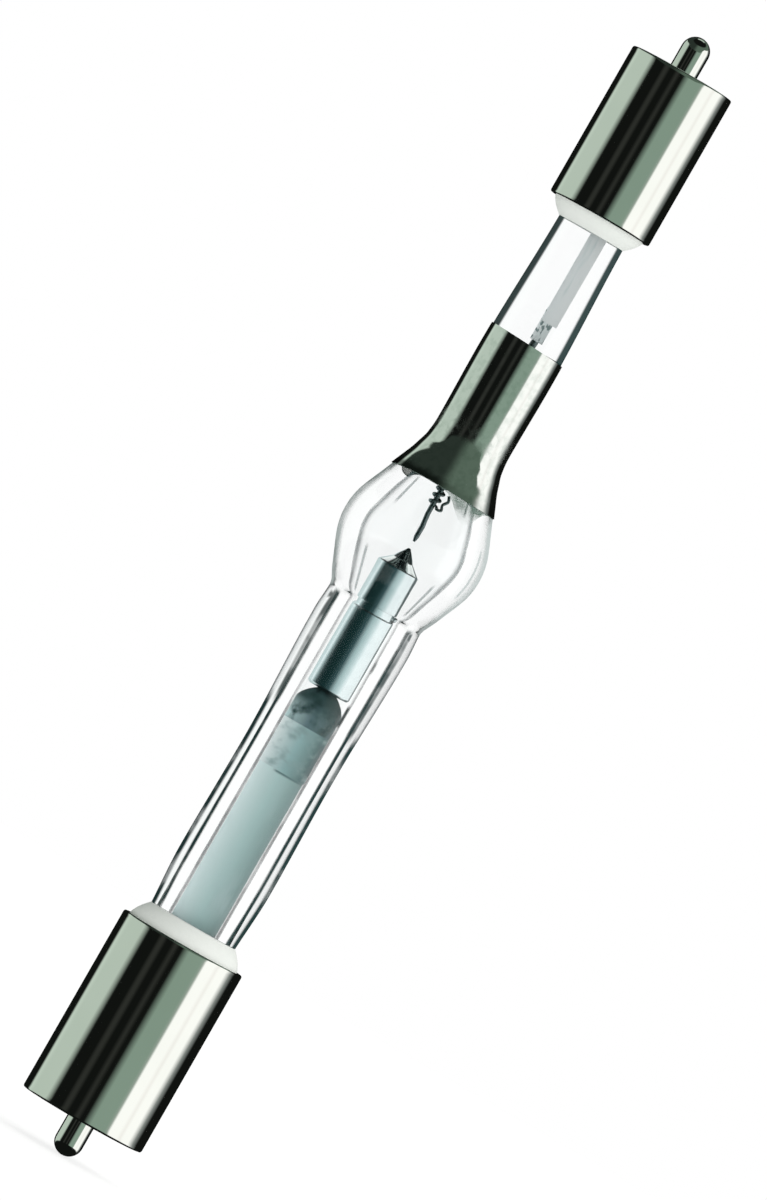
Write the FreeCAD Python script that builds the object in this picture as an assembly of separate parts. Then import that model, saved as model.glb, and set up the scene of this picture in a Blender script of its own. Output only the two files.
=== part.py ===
import FreeCAD, Part

import math
import os

from FreeCAD import Vector

# Short arc lamp with a pointed anode, a thin wound cathode and two plated bases
# Millimetres, +Z from the anode base up to the cathode base
# Origin at the centre of the anode base's flat end face

# Bases
anode_base_diameter = 9.0
anode_base_length = 13.5
cathode_base_diameter = 7.5
cathode_base_length = 11.1
base_wall = 0.4
base_end_wall = 1.2
cement_thickness = 0.95
anode_bead_height = 1.45
cathode_bead_height = 1.15

# Contact pins, pressed through the end walls, with the leads soldered into them
pin_diameter = 2.0
anode_pin_length = 2.7
cathode_pin_length = 2.65
pin_inner_length = 0.8
lead_diameter = 0.8
lead_socket_depth = 1.5
solder_width = 0.25
solder_clearance = 0.3

# Quartz envelope, as lengths along the lamp
quartz_end_gap = 3.0
seal_plug_length = 2.5
lower_shaft_length = 25.47
upper_shaft_length = 18.0

# Quartz envelope, across
bore_diameter = 3.8
bulb_diameter = 10.2
bulb_wall = 1.46

# Blown shape: the bulb and its room are spheres that run out in straight flares
bulb_flare_angle = 23.1
cavity_flare_angle = 20.0
flare_rounding = 6.0
flare_bands = 2
funnel_length = 3.1

# Hand-worked shafts: how far they stand off their radius at the base's rim, by share of the length
lower_shaft_waves = ((0.0, 0.0), (0.22, 0.26), (0.55, 0.16), (0.93, 0.38))
lower_shaft_root_swell = 0.28
upper_shaft_foot_swell = 0.22
upper_shaft_waves = ((0.37, 0.28), (1.0, 0.0))

# Heat-reflecting coating
coating_thickness = 0.1
coating_start = 4.2
coating_length = 11.2

# Anode, turned from one bar
arc_gap = 0.52
anode_tip_below_centre = 0.32
anode_tip_diameter = 0.16
anode_point_length = 0.86
anode_point_diameter = 1.46
anode_shoulder_length = 0.52
anode_head_diameter = 2.98
anode_head_length = 3.1
anode_neck_diameter = 2.5
anode_neck_length = 0.6
shank_clearance = 0.34
anode_shank_length = 5.85
anode_shank_chamfer = 0.15
anode_stem_diameter = 1.0
anode_stem_length = 2.5

# Anode seal, a stack in the bore
seal_clearance = 0.2
seal_foil_thickness = 0.06
foil_seam_gap = 1.2
lead_disc_thickness = 0.6
collar_crown_diameter = 1.92
collar_dome_height = 1.2
collar_length = 2.75
weld_band_length = 3.4
weld_band_thickness = 0.1

# Cathode
cathode_diameter = 0.42
cathode_tip_length = 0.35
cathode_tip_diameter = 0.16
cathode_embedded = 7.6
cathode_rod_lean = -0.12
cathode_seal_lean = 0.25
cathode_bend_start = 1.8
cathode_bend_length = 0.7
paddle_length = 2.4
paddle_width = 1.4
paddle_thickness = 0.16

# Wire coil on the cathode
coil_wire_diameter = 0.2
coil_pitch = 0.5
coil_turns = 3
coil_turn_steps = 16
coil_wire_sides = 6
coil_above_tip = 2.6
coil_fit = 0.01
coil_tail_reach = 0.55
coil_tail_rise = 1.1

# Cathode seal foil
cathode_foil_width = 2.2
cathode_foil_thickness = 0.06
cathode_foil_feather = 0.5
cathode_foil_turn = 17.0
foil_weld_length = 1.0
cathode_lead_embedded = 4.85

# Condensed mercury
mercury_bead_diameter = 0.5

# Radii that follow from the diameters
pin_radius = pin_diameter / 2
lead_radius = lead_diameter / 2
lower_rim_radius = anode_base_diameter / 2 - base_wall - cement_thickness
upper_rim_radius = cathode_base_diameter / 2 - base_wall - cement_thickness
root_radius = lower_rim_radius + lower_shaft_root_swell
foot_radius = upper_rim_radius + upper_shaft_foot_swell
bulb_radius = bulb_diameter / 2
bore_radius = bore_diameter / 2
cavity_radius = bulb_radius - bulb_wall
foil_radius = bore_radius - seal_clearance
seal_radius = foil_radius - seal_foil_thickness
shank_radius = bore_radius - shank_clearance
neck_radius = anode_neck_diameter / 2
rod_radius = cathode_diameter / 2
coil_radius = rod_radius + coil_wire_diameter / 2 + coil_fit

# Flares: slope, and the radius at which each pair would meet at the bulb's widest section
bulb_slope = math.tan(math.radians(bulb_flare_angle))
bulb_peak = bulb_radius / math.cos(math.radians(bulb_flare_angle))
cavity_slope = math.tan(math.radians(cavity_flare_angle))
cavity_peak = cavity_radius / math.cos(math.radians(cavity_flare_angle))

# Least change of radius that is more than a gentle taper
gentle_taper = 0.3

# Heights that follow from the lengths
bulb_root = anode_base_length + lower_shaft_length
bulb_centre = bulb_root + (bulb_peak - root_radius) / bulb_slope
flare_foot = bulb_centre + (bulb_peak - foot_radius) / bulb_slope
cathode_rim = flare_foot + upper_shaft_length
lamp_end = cathode_rim + cathode_base_length
quartz_bottom = quartz_end_gap
quartz_top = lamp_end - quartz_end_gap
bore_floor = quartz_bottom + seal_plug_length
funnel_top = flare_foot + flare_rounding * math.tan(math.radians(bulb_flare_angle / 2))
anode_tip = bulb_centre - anode_tip_below_centre
cathode_tip = anode_tip + arc_gap

# Heights of the anode's steps and of the seal stack under it
shoulder_top = anode_tip - anode_point_length
head_top = shoulder_top - anode_shoulder_length
head_bottom = head_top - anode_head_length
shank_top = head_bottom - anode_neck_length
shank_bottom = shank_top - anode_shank_length
collar_bottom = shank_bottom - collar_length
band_bottom = collar_bottom - weld_band_length
disc_top = bore_floor + lead_disc_thickness

# Heights in the cathode seal, and how far its foil's face stands from the paddle's middle
paddle_bottom = funnel_top + cathode_embedded
paddle_top = paddle_bottom + paddle_length
cathode_lead_bottom = quartz_top - cathode_lead_embedded
foil_side = paddle_thickness / 2


def straight(start, end):
    """Straight edge. A gently tapered one is a one-span spline, which makes its cone one plain band."""
    taper = abs(start.x - end.x)
    if taper == 0 or taper > gentle_taper or start.z == end.z:
        return Part.LineSegment(start, end).toShape()
    curve = Part.BSplineCurve()
    curve.buildFromPolesMultsKnots([start, end], [2, 2], [0, 1], False, 1)
    return curve.toShape()


def line(points):
    """Straight edges through (radius, height) points."""
    corners = [Vector(radius, 0, height) for radius, height in points]
    return [straight(a, b) for a, b in zip(corners, corners[1:])]


def arc(start, middle, end):
    """One arc through three (radius, height) points."""
    points = [Vector(radius, 0, height) for radius, height in (start, middle, end)]
    return Part.Arc(*points).toShape()


def rounded(corners):
    """Edges through (radius, height, rounding) corners, each with its own rounding."""
    points = [Vector(radius, 0, height) for radius, height, _ in corners]
    edges = []
    last = points[0]
    for before, here, after, corner in zip(points, points[1:], points[2:], corners[1:]):
        rounding = corner[2]
        if rounding == 0:
            edges.append(straight(last, here))
            last = here
            continue
        back = (before - here).normalize()
        ahead = (after - here).normalize()
        half_angle = back.getAngle(ahead) / 2
        inward = (back + ahead).normalize()
        setback = rounding / math.tan(half_angle)
        nearest = inward * (rounding / math.sin(half_angle) - rounding)
        start = here + back * setback
        end = here + ahead * setback
        edges.append(straight(last, start))
        edges.append(Part.Arc(start, here + nearest, end).toShape())
        last = end
    edges.append(straight(last, points[-1]))
    return edges


def revolve(edges):
    """Solid of revolution about the lamp's axis from a closed outline."""
    face = Part.Face(Part.Wire(Part.sortEdges(edges)[0]))
    return face.revolve(Vector(0, 0, 0), Vector(0, 0, 1), 360)


def turned(points):
    """Solid of revolution whose outline is straight lines and closes on itself."""
    return revolve(line(list(points) + [points[0]]))


def cylinder(radius, bottom, top):
    """Cylinder on the lamp's axis."""
    return Part.makeCylinder(radius, top - bottom, Vector(0, 0, bottom))


def rod_between(start, end, radius):
    """Cylinder from one point to another."""
    return Part.makeCylinder(radius, (end - start).Length, start, end - start)


def bent_wire(points, radius):
    """Round wire through points, with a ball at each bend."""
    wire = rod_between(points[0], points[1], radius)
    for bend, after in zip(points[1:], points[2:]):
        wire = wire.fuse([Part.makeSphere(radius, bend), rod_between(bend, after, radius)])
    return wire.removeSplitter()


def flare_corners():
    """Foot of the flare, which a gas flame draws round in a few short bands."""
    corners = []
    for step in range(flare_bands + 1):
        angle = math.radians(bulb_flare_angle * step / flare_bands)
        off = flare_rounding * (1 - math.cos(angle))
        corners.append((foot_radius + off, funnel_top - flare_rounding * math.sin(angle), 0))
    return corners[::-1]


def outer_corners():
    """Corners of the envelope's outline between the two base rims, upwards."""
    corners = [
        (lower_rim_radius + off, anode_base_length + share * lower_shaft_length, 0)
        for share, off in lower_shaft_waves
    ]
    corners.append((root_radius, bulb_root, 0))
    corners.append((bulb_peak, bulb_centre, bulb_radius))
    corners += flare_corners()
    corners += [
        (upper_rim_radius + off, flare_foot + share * upper_shaft_length, 0)
        for share, off in upper_shaft_waves
    ]
    return corners


def outer_blank(allowance=0.0):
    """The envelope as if it were solid quartz, its outline grown by an allowance."""
    outline = [(radius + allowance, height, rounding) for radius, height, rounding in outer_corners()]
    low_radius = outline[0][0]
    high_radius = outline[-1][0]
    low_end = [(0, quartz_bottom, 0), (low_radius, quartz_bottom, 0)]
    high_end = [(high_radius, quartz_top, 0), (0, quartz_top, 0)]
    edges = rounded(low_end + outline + high_end)
    return revolve(edges + line([(0, quartz_top), (0, quartz_bottom)]))


def cavity():
    """Room inside the envelope: the bore, the bulb and the funnel that closes on the cathode."""
    mouth = bulb_centre - (cavity_peak - bore_radius) / cavity_slope
    funnel_foot = funnel_top - funnel_length
    funnel_radius = cavity_peak - cavity_slope * (funnel_foot - bulb_centre)
    corners = [
        (0, bore_floor, 0),
        (bore_radius, bore_floor, 0),
        (bore_radius, mouth, 0),
        (cavity_peak, bulb_centre, cavity_radius),
        (funnel_radius, funnel_foot, 0),
        (rod_radius / 2, funnel_top, 0),
        (0, funnel_top, 0),
    ]
    return revolve(rounded(corners) + line([(0, funnel_top), (0, bore_floor)]))


def anode():
    """Pointed head with a blunt tip, neck, shank and the stem that enters the collar."""
    tip_radius = anode_tip_diameter / 2
    point_radius = anode_point_diameter / 2
    head_radius = anode_head_diameter / 2
    stem_radius = anode_stem_diameter / 2
    stem_end = shank_bottom - anode_stem_length
    return turned(
        [
            (0, anode_tip),
            (tip_radius, anode_tip),
            (point_radius, shoulder_top),
            (head_radius, head_top),
            (head_radius, head_bottom),
            (neck_radius, head_bottom),
            (neck_radius, shank_top),
            (shank_radius, shank_top),
            (shank_radius, shank_bottom + anode_shank_chamfer),
            (shank_radius - anode_shank_chamfer, shank_bottom),
            (stem_radius, shank_bottom),
            (stem_radius, stem_end),
            (0, stem_end),
        ]
    )


def anode_collar():
    """Collar with a shouldered dome and a skirt, bored for the anode's stem."""
    crown_radius = collar_crown_diameter / 2
    skirt_radius = foil_radius - weld_band_thickness
    shoulder = shank_bottom - collar_dome_height
    bow = math.sqrt(0.5)
    collar = turned(
        [
            (0, shank_bottom),
            (crown_radius, shank_bottom),
            (crown_radius + (foil_radius - crown_radius) * bow, shoulder + collar_dome_height * bow),
            (foil_radius, shoulder),
            (foil_radius, collar_bottom),
            (skirt_radius, collar_bottom),
            (skirt_radius, band_bottom),
            (0, band_bottom),
        ]
    )
    return collar.cut(anode())


def anode_weld_band():
    """Strip wound round the collar's skirt."""
    skirt = cylinder(foil_radius - weld_band_thickness, band_bottom, collar_bottom)
    return cylinder(foil_radius, band_bottom, collar_bottom).cut(skirt)


def anode_seal_rod():
    """Quartz rod that the foil is wrapped on."""
    return cylinder(seal_radius, disc_top, band_bottom)


def anode_foil():
    """Foil sleeve on the lead's disc and the seal rod, open along a seam at the back."""
    core = cylinder(seal_radius, bore_floor, band_bottom)
    sleeve = cylinder(foil_radius, bore_floor, band_bottom).cut(core)
    seam = Part.makeBox(
        foil_seam_gap,
        foil_radius,
        band_bottom - bore_floor,
        Vector(-foil_seam_gap / 2, 0, bore_floor),
    )
    return sleeve.cut(seam)


def anode_lead():
    """Lead through the closed end of the bore, with the disc that carries the foil."""
    disc = cylinder(seal_radius, bore_floor, disc_top)
    wire = cylinder(lead_radius, base_end_wall + pin_inner_length - lead_socket_depth, bore_floor)
    return disc.fuse(wire).removeSplitter()


def cathode():
    """Thin rod with a blunt point, a bend in the bulb, a bend in the seal and a flattened end."""
    rod_line = [
        Vector(0, 0, cathode_tip + cathode_tip_length),
        Vector(0, 0, cathode_tip + cathode_bend_start - cathode_bend_length),
        Vector(cathode_rod_lean, 0, cathode_tip + cathode_bend_start),
        Vector(cathode_rod_lean, 0, funnel_top),
        Vector(cathode_seal_lean, 0, paddle_bottom),
    ]
    tip = Part.makeCone(cathode_tip_diameter / 2, rod_radius, cathode_tip_length, Vector(0, 0, cathode_tip))
    paddle = Part.makeBox(
        paddle_width,
        paddle_thickness,
        paddle_length,
        Vector(-paddle_width / 2, -paddle_thickness / 2, paddle_bottom),
    )
    return tip.fuse([bent_wire(rod_line, rod_radius), set_in_seal(paddle)]).removeSplitter()


def set_in_seal(shape):
    """The same shape turned to the seal foil's bearing, at the foil's place in the upper shaft."""
    shape.rotate(Vector(0, 0, 0), Vector(0, 0, 1), -90 - cathode_foil_turn)
    shape.translate(Vector(cathode_seal_lean, 0, 0))
    return shape


def wire_section(start, along, radius):
    """Many-sided section of a thin wire, square to its run, with its first corner on the +X side."""
    outward = Vector(1, 0, 0)
    outward = (outward - along * outward.dot(along)).normalize() * radius
    turn = FreeCAD.Rotation(along, 360 / coil_wire_sides)
    corners = [start + outward]
    for _ in range(coil_wire_sides - 1):
        outward = turn.multVec(outward)
        corners.append(start + outward)
    return Part.makePolygon(corners + [corners[0]])


def coil_route():
    """Line of the coil's wire: the loose tail, then the turns, upwards from height zero."""
    route = [
        Vector(coil_tail_reach + coil_wire_diameter / 2, 0, coil_tail_rise),
        Vector(coil_tail_reach, -coil_radius, 0),
        Vector(coil_radius, -coil_radius, -coil_pitch / 8),
    ]
    for step in range(coil_turns * coil_turn_steps + 1):
        turns = step / coil_turn_steps
        angle = math.radians(360 * turns)
        route.append(Vector(coil_radius * math.cos(angle), coil_radius * math.sin(angle), coil_pitch * turns))
    return route


def cathode_coil():
    """Wire wound on the cathode, with a loose tail that leaves its lower end."""
    route = coil_route()
    along = (route[1] - route[0]).normalize()
    section = wire_section(route[0], along, coil_wire_diameter / 2)
    coil = Part.makePolygon(route).makePipeShell([section], True, False, 1)
    coil.translate(Vector(cathode_rod_lean, 0, cathode_tip + coil_above_tip))
    return coil


def cathode_foil():
    """Flat foil welded to the rod's paddle and to the lead, with feathered margins."""
    half = cathode_foil_width / 2
    crown = half - cathode_foil_feather
    bottom = paddle_top - foil_weld_length
    top = cathode_lead_bottom + foil_weld_length
    outer = foil_side + cathode_foil_thickness
    section = Part.makePolygon(
        [
            Vector(-half, foil_side, bottom),
            Vector(half, foil_side, bottom),
            Vector(crown, outer, bottom),
            Vector(-crown, outer, bottom),
            Vector(-half, foil_side, bottom),
        ]
    )
    return set_in_seal(Part.Face(section).extrude(Vector(0, 0, top - bottom)))


def cathode_lead():
    """Lead from the foil to the contact pin, with a flat where the foil is welded."""
    socket_end = lamp_end - base_end_wall - pin_inner_length + lead_socket_depth
    wire = cylinder(lead_radius, cathode_lead_bottom, socket_end)
    flat = Part.makeBox(
        lead_diameter * 2,
        lead_diameter,
        foil_weld_length,
        Vector(-lead_diameter, foil_side, cathode_lead_bottom),
    )
    return wire.cut(set_in_seal(flat))


def base_parts(diameter, length, pin_length, bead_height):
    """Shell, pin, solder and the cement round the quartz, for a base that stands on its end face."""
    outer = diameter / 2
    inner = outer - base_wall
    quartz_radius = inner - cement_thickness
    inner_end = base_end_wall + pin_inner_length
    socket_end = inner_end - lead_socket_depth
    shell = turned(
        [
            (pin_radius, 0),
            (outer, 0),
            (outer, length),
            (inner, length),
            (inner, base_end_wall),
            (pin_radius, base_end_wall),
        ]
    )
    dome_low = -pin_length
    dome_high = pin_radius - pin_length
    bow = pin_radius * math.sqrt(0.5)
    dome = arc((0, dome_low), (bow, dome_high - bow), (pin_radius, dome_high))
    shank = line(
        [
            (pin_radius, dome_high),
            (pin_radius, inner_end),
            (lead_radius, inner_end),
            (lead_radius, socket_end),
            (0, socket_end),
            (0, dome_low),
        ]
    )
    pin = revolve([dome] + shank)
    solder_top = quartz_end_gap - solder_clearance
    solder = cylinder(lead_radius + solder_width, inner_end, solder_top)
    solder = solder.cut(cylinder(lead_radius, inner_end, solder_top))
    bead_top = length + bead_height
    core = quartz_radius / 2
    cement = turned(
        [
            (inner, quartz_end_gap),
            (inner, length),
            (quartz_radius, bead_top),
            (core, bead_top),
            (core, quartz_end_gap),
        ]
    )
    return {"base_shell": shell, "base_pin": pin, "solder": solder, "cement": cement}


def turned_over(shape):
    """The same base at the lamp's upper end."""
    shape.rotate(Vector(0, 0, 0), Vector(1, 0, 0), 180)
    shape.translate(Vector(0, 0, lamp_end))
    return shape


def reflector_coating(blank):
    """Metallic skin on the flare and shaft."""
    low = bulb_centre + coating_start
    skin = outer_blank(coating_thickness).cut(blank)
    return skin.common(cylinder(bulb_diameter, low, low + coating_length))


def mercury_bead():
    """Drop of mercury that sits on the shank's shoulder, against the neck."""
    radius = mercury_bead_diameter / 2
    flat = radius * math.tan(math.radians(22.5))
    drop = turned([(0, -radius), (flat, -radius), (radius, -flat), (radius, flat), (flat, radius), (0, radius)])
    drop.translate(Vector(neck_radius + radius, 0, shank_top + radius))
    return drop


def build():
    """All pieces of the lamp by name."""
    parts = {}
    blank = outer_blank()
    parts["anode"] = anode()
    parts["anode_collar"] = anode_collar()
    parts["anode_weld_band"] = anode_weld_band()
    parts["anode_seal_rod"] = anode_seal_rod()
    parts["anode_foil"] = anode_foil()
    parts["anode_lead"] = anode_lead()
    parts["cathode"] = cathode()
    parts["cathode_coil"] = cathode_coil()
    parts["cathode_foil"] = cathode_foil()
    parts["cathode_lead"] = cathode_lead()
    lower = base_parts(anode_base_diameter, anode_base_length, anode_pin_length, anode_bead_height)
    upper = base_parts(cathode_base_diameter, cathode_base_length, cathode_pin_length, cathode_bead_height)
    for name, shape in lower.items():
        parts["anode_" + name] = shape
    for name, shape in upper.items():
        parts["cathode_" + name] = turned_over(shape)
    for side in ("anode", "cathode"):
        parts[side + "_cement"] = parts[side + "_cement"].cut(blank)
    embedded = [parts[name] for name in ("anode_lead", "cathode", "cathode_foil", "cathode_lead")]
    parts["quartz_envelope"] = blank.cut([cavity()] + embedded)
    parts["reflector_coating"] = reflector_coating(blank)
    parts["mercury_bead"] = mercury_bead()
    return parts


os.makedirs("parts", exist_ok=True)
for name, shape in build().items():
    solids = shape.Solids
    if len(solids) == 1:
        shape = solids[0]
    shape.exportStep(f"parts/{name}.step")
    print(f"{name:22} solids {len(solids)}  volume {shape.Volume:9.4f}  valid {shape.isValid()}")
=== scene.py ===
"""Studio picture of a short arc lamp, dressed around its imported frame. Metres, +Z up the lamp."""

import logging
import math
from collections.abc import Mapping, Sequence
from dataclasses import dataclass, field
from enum import Enum

import bpy
from mathutils import Matrix, Vector

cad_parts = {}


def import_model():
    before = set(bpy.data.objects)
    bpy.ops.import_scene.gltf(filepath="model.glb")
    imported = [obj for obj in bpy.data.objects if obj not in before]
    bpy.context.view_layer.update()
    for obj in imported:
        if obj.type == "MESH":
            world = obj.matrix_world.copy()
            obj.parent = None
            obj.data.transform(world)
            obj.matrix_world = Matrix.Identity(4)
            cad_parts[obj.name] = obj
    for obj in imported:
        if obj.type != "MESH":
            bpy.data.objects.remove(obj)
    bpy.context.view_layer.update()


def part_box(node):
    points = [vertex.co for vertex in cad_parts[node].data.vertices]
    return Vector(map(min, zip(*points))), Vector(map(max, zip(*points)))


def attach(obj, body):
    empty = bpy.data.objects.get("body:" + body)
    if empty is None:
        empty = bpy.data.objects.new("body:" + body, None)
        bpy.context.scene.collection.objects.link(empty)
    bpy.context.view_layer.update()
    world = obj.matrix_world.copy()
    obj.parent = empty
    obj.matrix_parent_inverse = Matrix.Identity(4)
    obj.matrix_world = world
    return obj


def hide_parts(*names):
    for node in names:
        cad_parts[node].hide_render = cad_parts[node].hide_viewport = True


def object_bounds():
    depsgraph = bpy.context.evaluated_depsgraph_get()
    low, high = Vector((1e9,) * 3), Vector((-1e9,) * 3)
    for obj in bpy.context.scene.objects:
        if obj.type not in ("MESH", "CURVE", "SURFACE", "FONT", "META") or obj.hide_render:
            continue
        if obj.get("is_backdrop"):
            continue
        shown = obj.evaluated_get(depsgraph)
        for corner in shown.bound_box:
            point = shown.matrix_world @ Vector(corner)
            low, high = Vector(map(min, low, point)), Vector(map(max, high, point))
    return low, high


log = logging.getLogger("short_arc_lamp")

MM = 0.001
AXIS_LIMIT = 1e-7
ROOT_BODY = "root"

Outline = list[tuple[float, float]]
Colour = tuple[float, float, float]
Stretch = tuple[float, float, float]
Range = tuple[float, float]

# Scales along the three axes: the first two draw noise out into lines, the third leaves it even
ROUND_LINES: Stretch = (0.0, 0.0, 1.0)
LENGTHWISE_LINES: Stretch = (1.0, 1.0, 0.02)
EVEN_GRAIN: Stretch = (1.0, 1.0, 1.0)

# Octaves of noise
PLAIN_DETAIL = 2.0
CLOUD_DETAIL = 3.0
GRAIN_DETAIL = 4.0

WHITE: Colour = (1.0, 1.0, 1.0)


# Shader maths


class Sock:
    """Output socket of a node, with arithmetic that adds Math nodes."""

    def __init__(self, tree: "Tree", socket: bpy.types.NodeSocket | None) -> None:
        """Wraps one output socket of a tree, or nothing for a node without outputs."""
        self.tree = tree
        self.socket = socket

    def _math(self, operation: str, first: object, second: object) -> "Sock":
        """Adds one Math node."""
        return self.tree.node("ShaderNodeMath", {"operation": operation}, {0: first, 1: second})

    def __add__(self, other: object) -> "Sock":
        """Sum."""
        return self._math("ADD", self, other)

    __radd__ = __add__

    def __sub__(self, other: object) -> "Sock":
        """Difference."""
        return self._math("SUBTRACT", self, other)

    def __rsub__(self, other: object) -> "Sock":
        """Difference with a number on the left."""
        return self._math("SUBTRACT", other, self)

    def __mul__(self, other: object) -> "Sock":
        """Product."""
        return self._math("MULTIPLY", self, other)

    __rmul__ = __mul__

    def __truediv__(self, other: object) -> "Sock":
        """Quotient."""
        return self._math("DIVIDE", self, other)

    def __gt__(self, other: object) -> "Sock":
        """1 where this value is the larger."""
        return self._math("GREATER_THAN", self, other)

    def __abs__(self) -> "Sock":
        """Size without sign."""
        return self._math("ABSOLUTE", self, 0.0)

    def larger(self, other: object) -> "Sock":
        """The larger of two values."""
        return self._math("MAXIMUM", self, other)


class Tree:
    """Node tree of a material or of the world, filled node by node."""

    def __init__(self, node_tree: bpy.types.NodeTree) -> None:
        """Empties the tree.

        Args:
            node_tree: the node tree of a material or of the world.
        """
        self.nodes = node_tree.nodes
        self.links = node_tree.links
        self.nodes.clear()

    def node(
        self,
        kind: str,
        settings: Mapping[str, object] | None = None,
        values: Mapping[int | str, object] | None = None,
        output: int | str = 0,
    ) -> Sock:
        """Adds a node.

        Args:
            kind: Blender's name of the node's type.
            settings: the node's own settings; "stops" is a ramp's list of (place, colour).
            values: number, colour or Sock for each input, by index or name.
            output: index or name of the output that is returned.

        Returns:
            The output, ready for arithmetic.
        """
        made = self.nodes.new(kind)
        for name, value in (settings or {}).items():
            if name == "stops":
                self._set_stops(made.color_ramp, value)
            else:
                setattr(made, name, value)
        for key, value in (values or {}).items():
            if isinstance(value, Sock):
                self.links.new(value.socket, made.inputs[key])
            else:
                made.inputs[key].default_value = value
        return Sock(self, made.outputs[output]) if len(made.outputs) else Sock(self, None)

    @staticmethod
    def _set_stops(ramp: bpy.types.ColorRamp, stops: Sequence[tuple[float, Colour]]) -> None:
        """Writes a ramp's stops.

        Args:
            ramp: the ramp of a new node.
            stops: place and colour of each stop, in order.
        """
        while len(ramp.elements) > 1:
            ramp.elements.remove(ramp.elements[-1])
        for index, (place, colour) in enumerate(stops):
            element = ramp.elements[0] if index == 0 else ramp.elements.new(place)
            element.position = place
            element.color = (*colour, 1.0)

    def ramp(self, factor: Sock, stops: Sequence[tuple[float, Colour]]) -> Sock:
        """Colour that a value picks from a ramp's stops."""
        return self.node("ShaderNodeValToRGB", {"stops": stops}, {0: factor})

    def step(self, value: Sock, low: float, high: float) -> Sock:
        """0 below low, 1 above high and a smooth rise between."""
        settings = {"interpolation_type": "SMOOTHSTEP"}
        return self.node("ShaderNodeMapRange", settings, {0: value, 1: low, 2: high, 3: 0.0, 4: 1.0})

    def mix(self, factor: Sock | float, first: object, second: object) -> Sock:
        """Blend of two colours.

        Args:
            factor: 0 for the first colour, 1 for the second.
            first: a colour, or a socket that gives one.
            second: the other colour, in the same way.

        Returns:
            The blended colour.
        """
        first = first if isinstance(first, Sock) else (*first, 1.0)
        second = second if isinstance(second, Sock) else (*second, 1.0)
        settings = {"data_type": "RGBA"}
        return self.node("ShaderNodeMix", settings, {0: factor, 6: first, 7: second}, output=2)

    def place(self) -> Sock:
        """Position on the piece, in metres."""
        return self.node("ShaderNodeTexCoord", output="Object")

    def parts(self, vector: Sock) -> tuple[Sock, Sock, Sock]:
        """The three numbers of a vector."""
        split = self.node("ShaderNodeSeparateXYZ", values={0: vector}).socket.node
        return tuple(Sock(self, output) for output in split.outputs)

    def stretched(self, vector: Sock, scale: Stretch) -> Sock:
        """Position scaled along each axis."""
        return self.node("ShaderNodeVectorMath", {"operation": "MULTIPLY"}, {0: vector, 1: scale})

    def noise(self, vector: Sock, size: float, detail: float = PLAIN_DETAIL) -> Sock:
        """Soft noise between 0 and 1, in blots of about the given size in metres."""
        return self.node("ShaderNodeTexNoise", None, {"Vector": vector, "Scale": 1 / size, "Detail": detail})

    def bump(self, height: Sock, depth: float) -> Sock:
        """Normal that a height of up to depth metres gives."""
        return self.node("ShaderNodeBump", None, {"Height": height, "Distance": depth, "Strength": 1.0})

    def principled(self, values: Mapping[str, object]) -> Sock:
        """Principled shader."""
        return self.node("ShaderNodeBsdfPrincipled", None, values)

    def surface(self, values: Mapping[str, object]) -> None:
        """Ends a material in one Principled shader."""
        self.node("ShaderNodeOutputMaterial", None, {0: self.principled(values)})

    def layered(self, factor: Sock, under: Sock, over: Sock) -> None:
        """Ends a material in two shaders, the second where the factor is 1."""
        shader = self.node("ShaderNodeMixShader", None, {0: factor, 1: under, 2: over})
        self.node("ShaderNodeOutputMaterial", None, {0: shader})


def new_tree(name: str) -> tuple[bpy.types.Material, Tree]:
    """Starts a finish.

    Args:
        name: the material's name.

    Returns:
        The new material and its empty tree.
    """
    material = bpy.data.materials.new(name)
    material.use_nodes = True
    return material, Tree(material.node_tree)


# Finishes


@dataclass(frozen=True)
class PlatedNickel:
    """Bright turned nickel plate of the bases and pins."""

    name: str
    colour: Colour = (0.9, 0.91, 0.88)
    dull_colour: Colour = (0.83, 0.85, 0.81)
    roughness: float = 0.035
    roughness_swing: float = 0.03
    cloud_size: float = 4.0 * MM
    groove_size: float = 0.12 * MM
    groove_depth: float = 0.0012 * MM

    def material(self) -> bpy.types.Material:
        """Faint clouds in the plate over fine turning grooves.

        Returns:
            The finish, ready for a piece.
        """
        material, tree = new_tree(self.name)
        place = tree.place()
        clouds = tree.noise(place, self.cloud_size, CLOUD_DETAIL)
        grooves = tree.noise(tree.stretched(place, ROUND_LINES), self.groove_size)
        tree.surface(
            {
                "Base Color": tree.mix(clouds, self.dull_colour, self.colour),
                "Metallic": 1.0,
                "Roughness": self.roughness + clouds * self.roughness_swing,
                "Normal": tree.bump(grooves, self.groove_depth),
            }
        )
        return material


@dataclass(frozen=True)
class EdgeLine:
    """Painted dark line where the eye grazes the glass, a painted shade for the dark surroundings that its
    edge shows: between two of its angles, and how dark it gets.
    """

    start: float
    full: float
    strength: float
    fade: Range | None = None

    def drawn(self, tree: Tree, facing: Sock) -> Sock:
        """Draws the line.

        Args:
            tree: the tree that takes the nodes.
            facing: 0 where the skin faces the eye, 1 where the eye grazes it.

        Returns:
            Share of the line at each spot.
        """
        # Painted shade: the share of the dark line rises as the eye grazes the skin
        line = tree.step(facing, self.start, self.full) * self.strength
        if self.fade:
            line = line * (1 - tree.step(facing, *self.fade))
        return line


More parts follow.
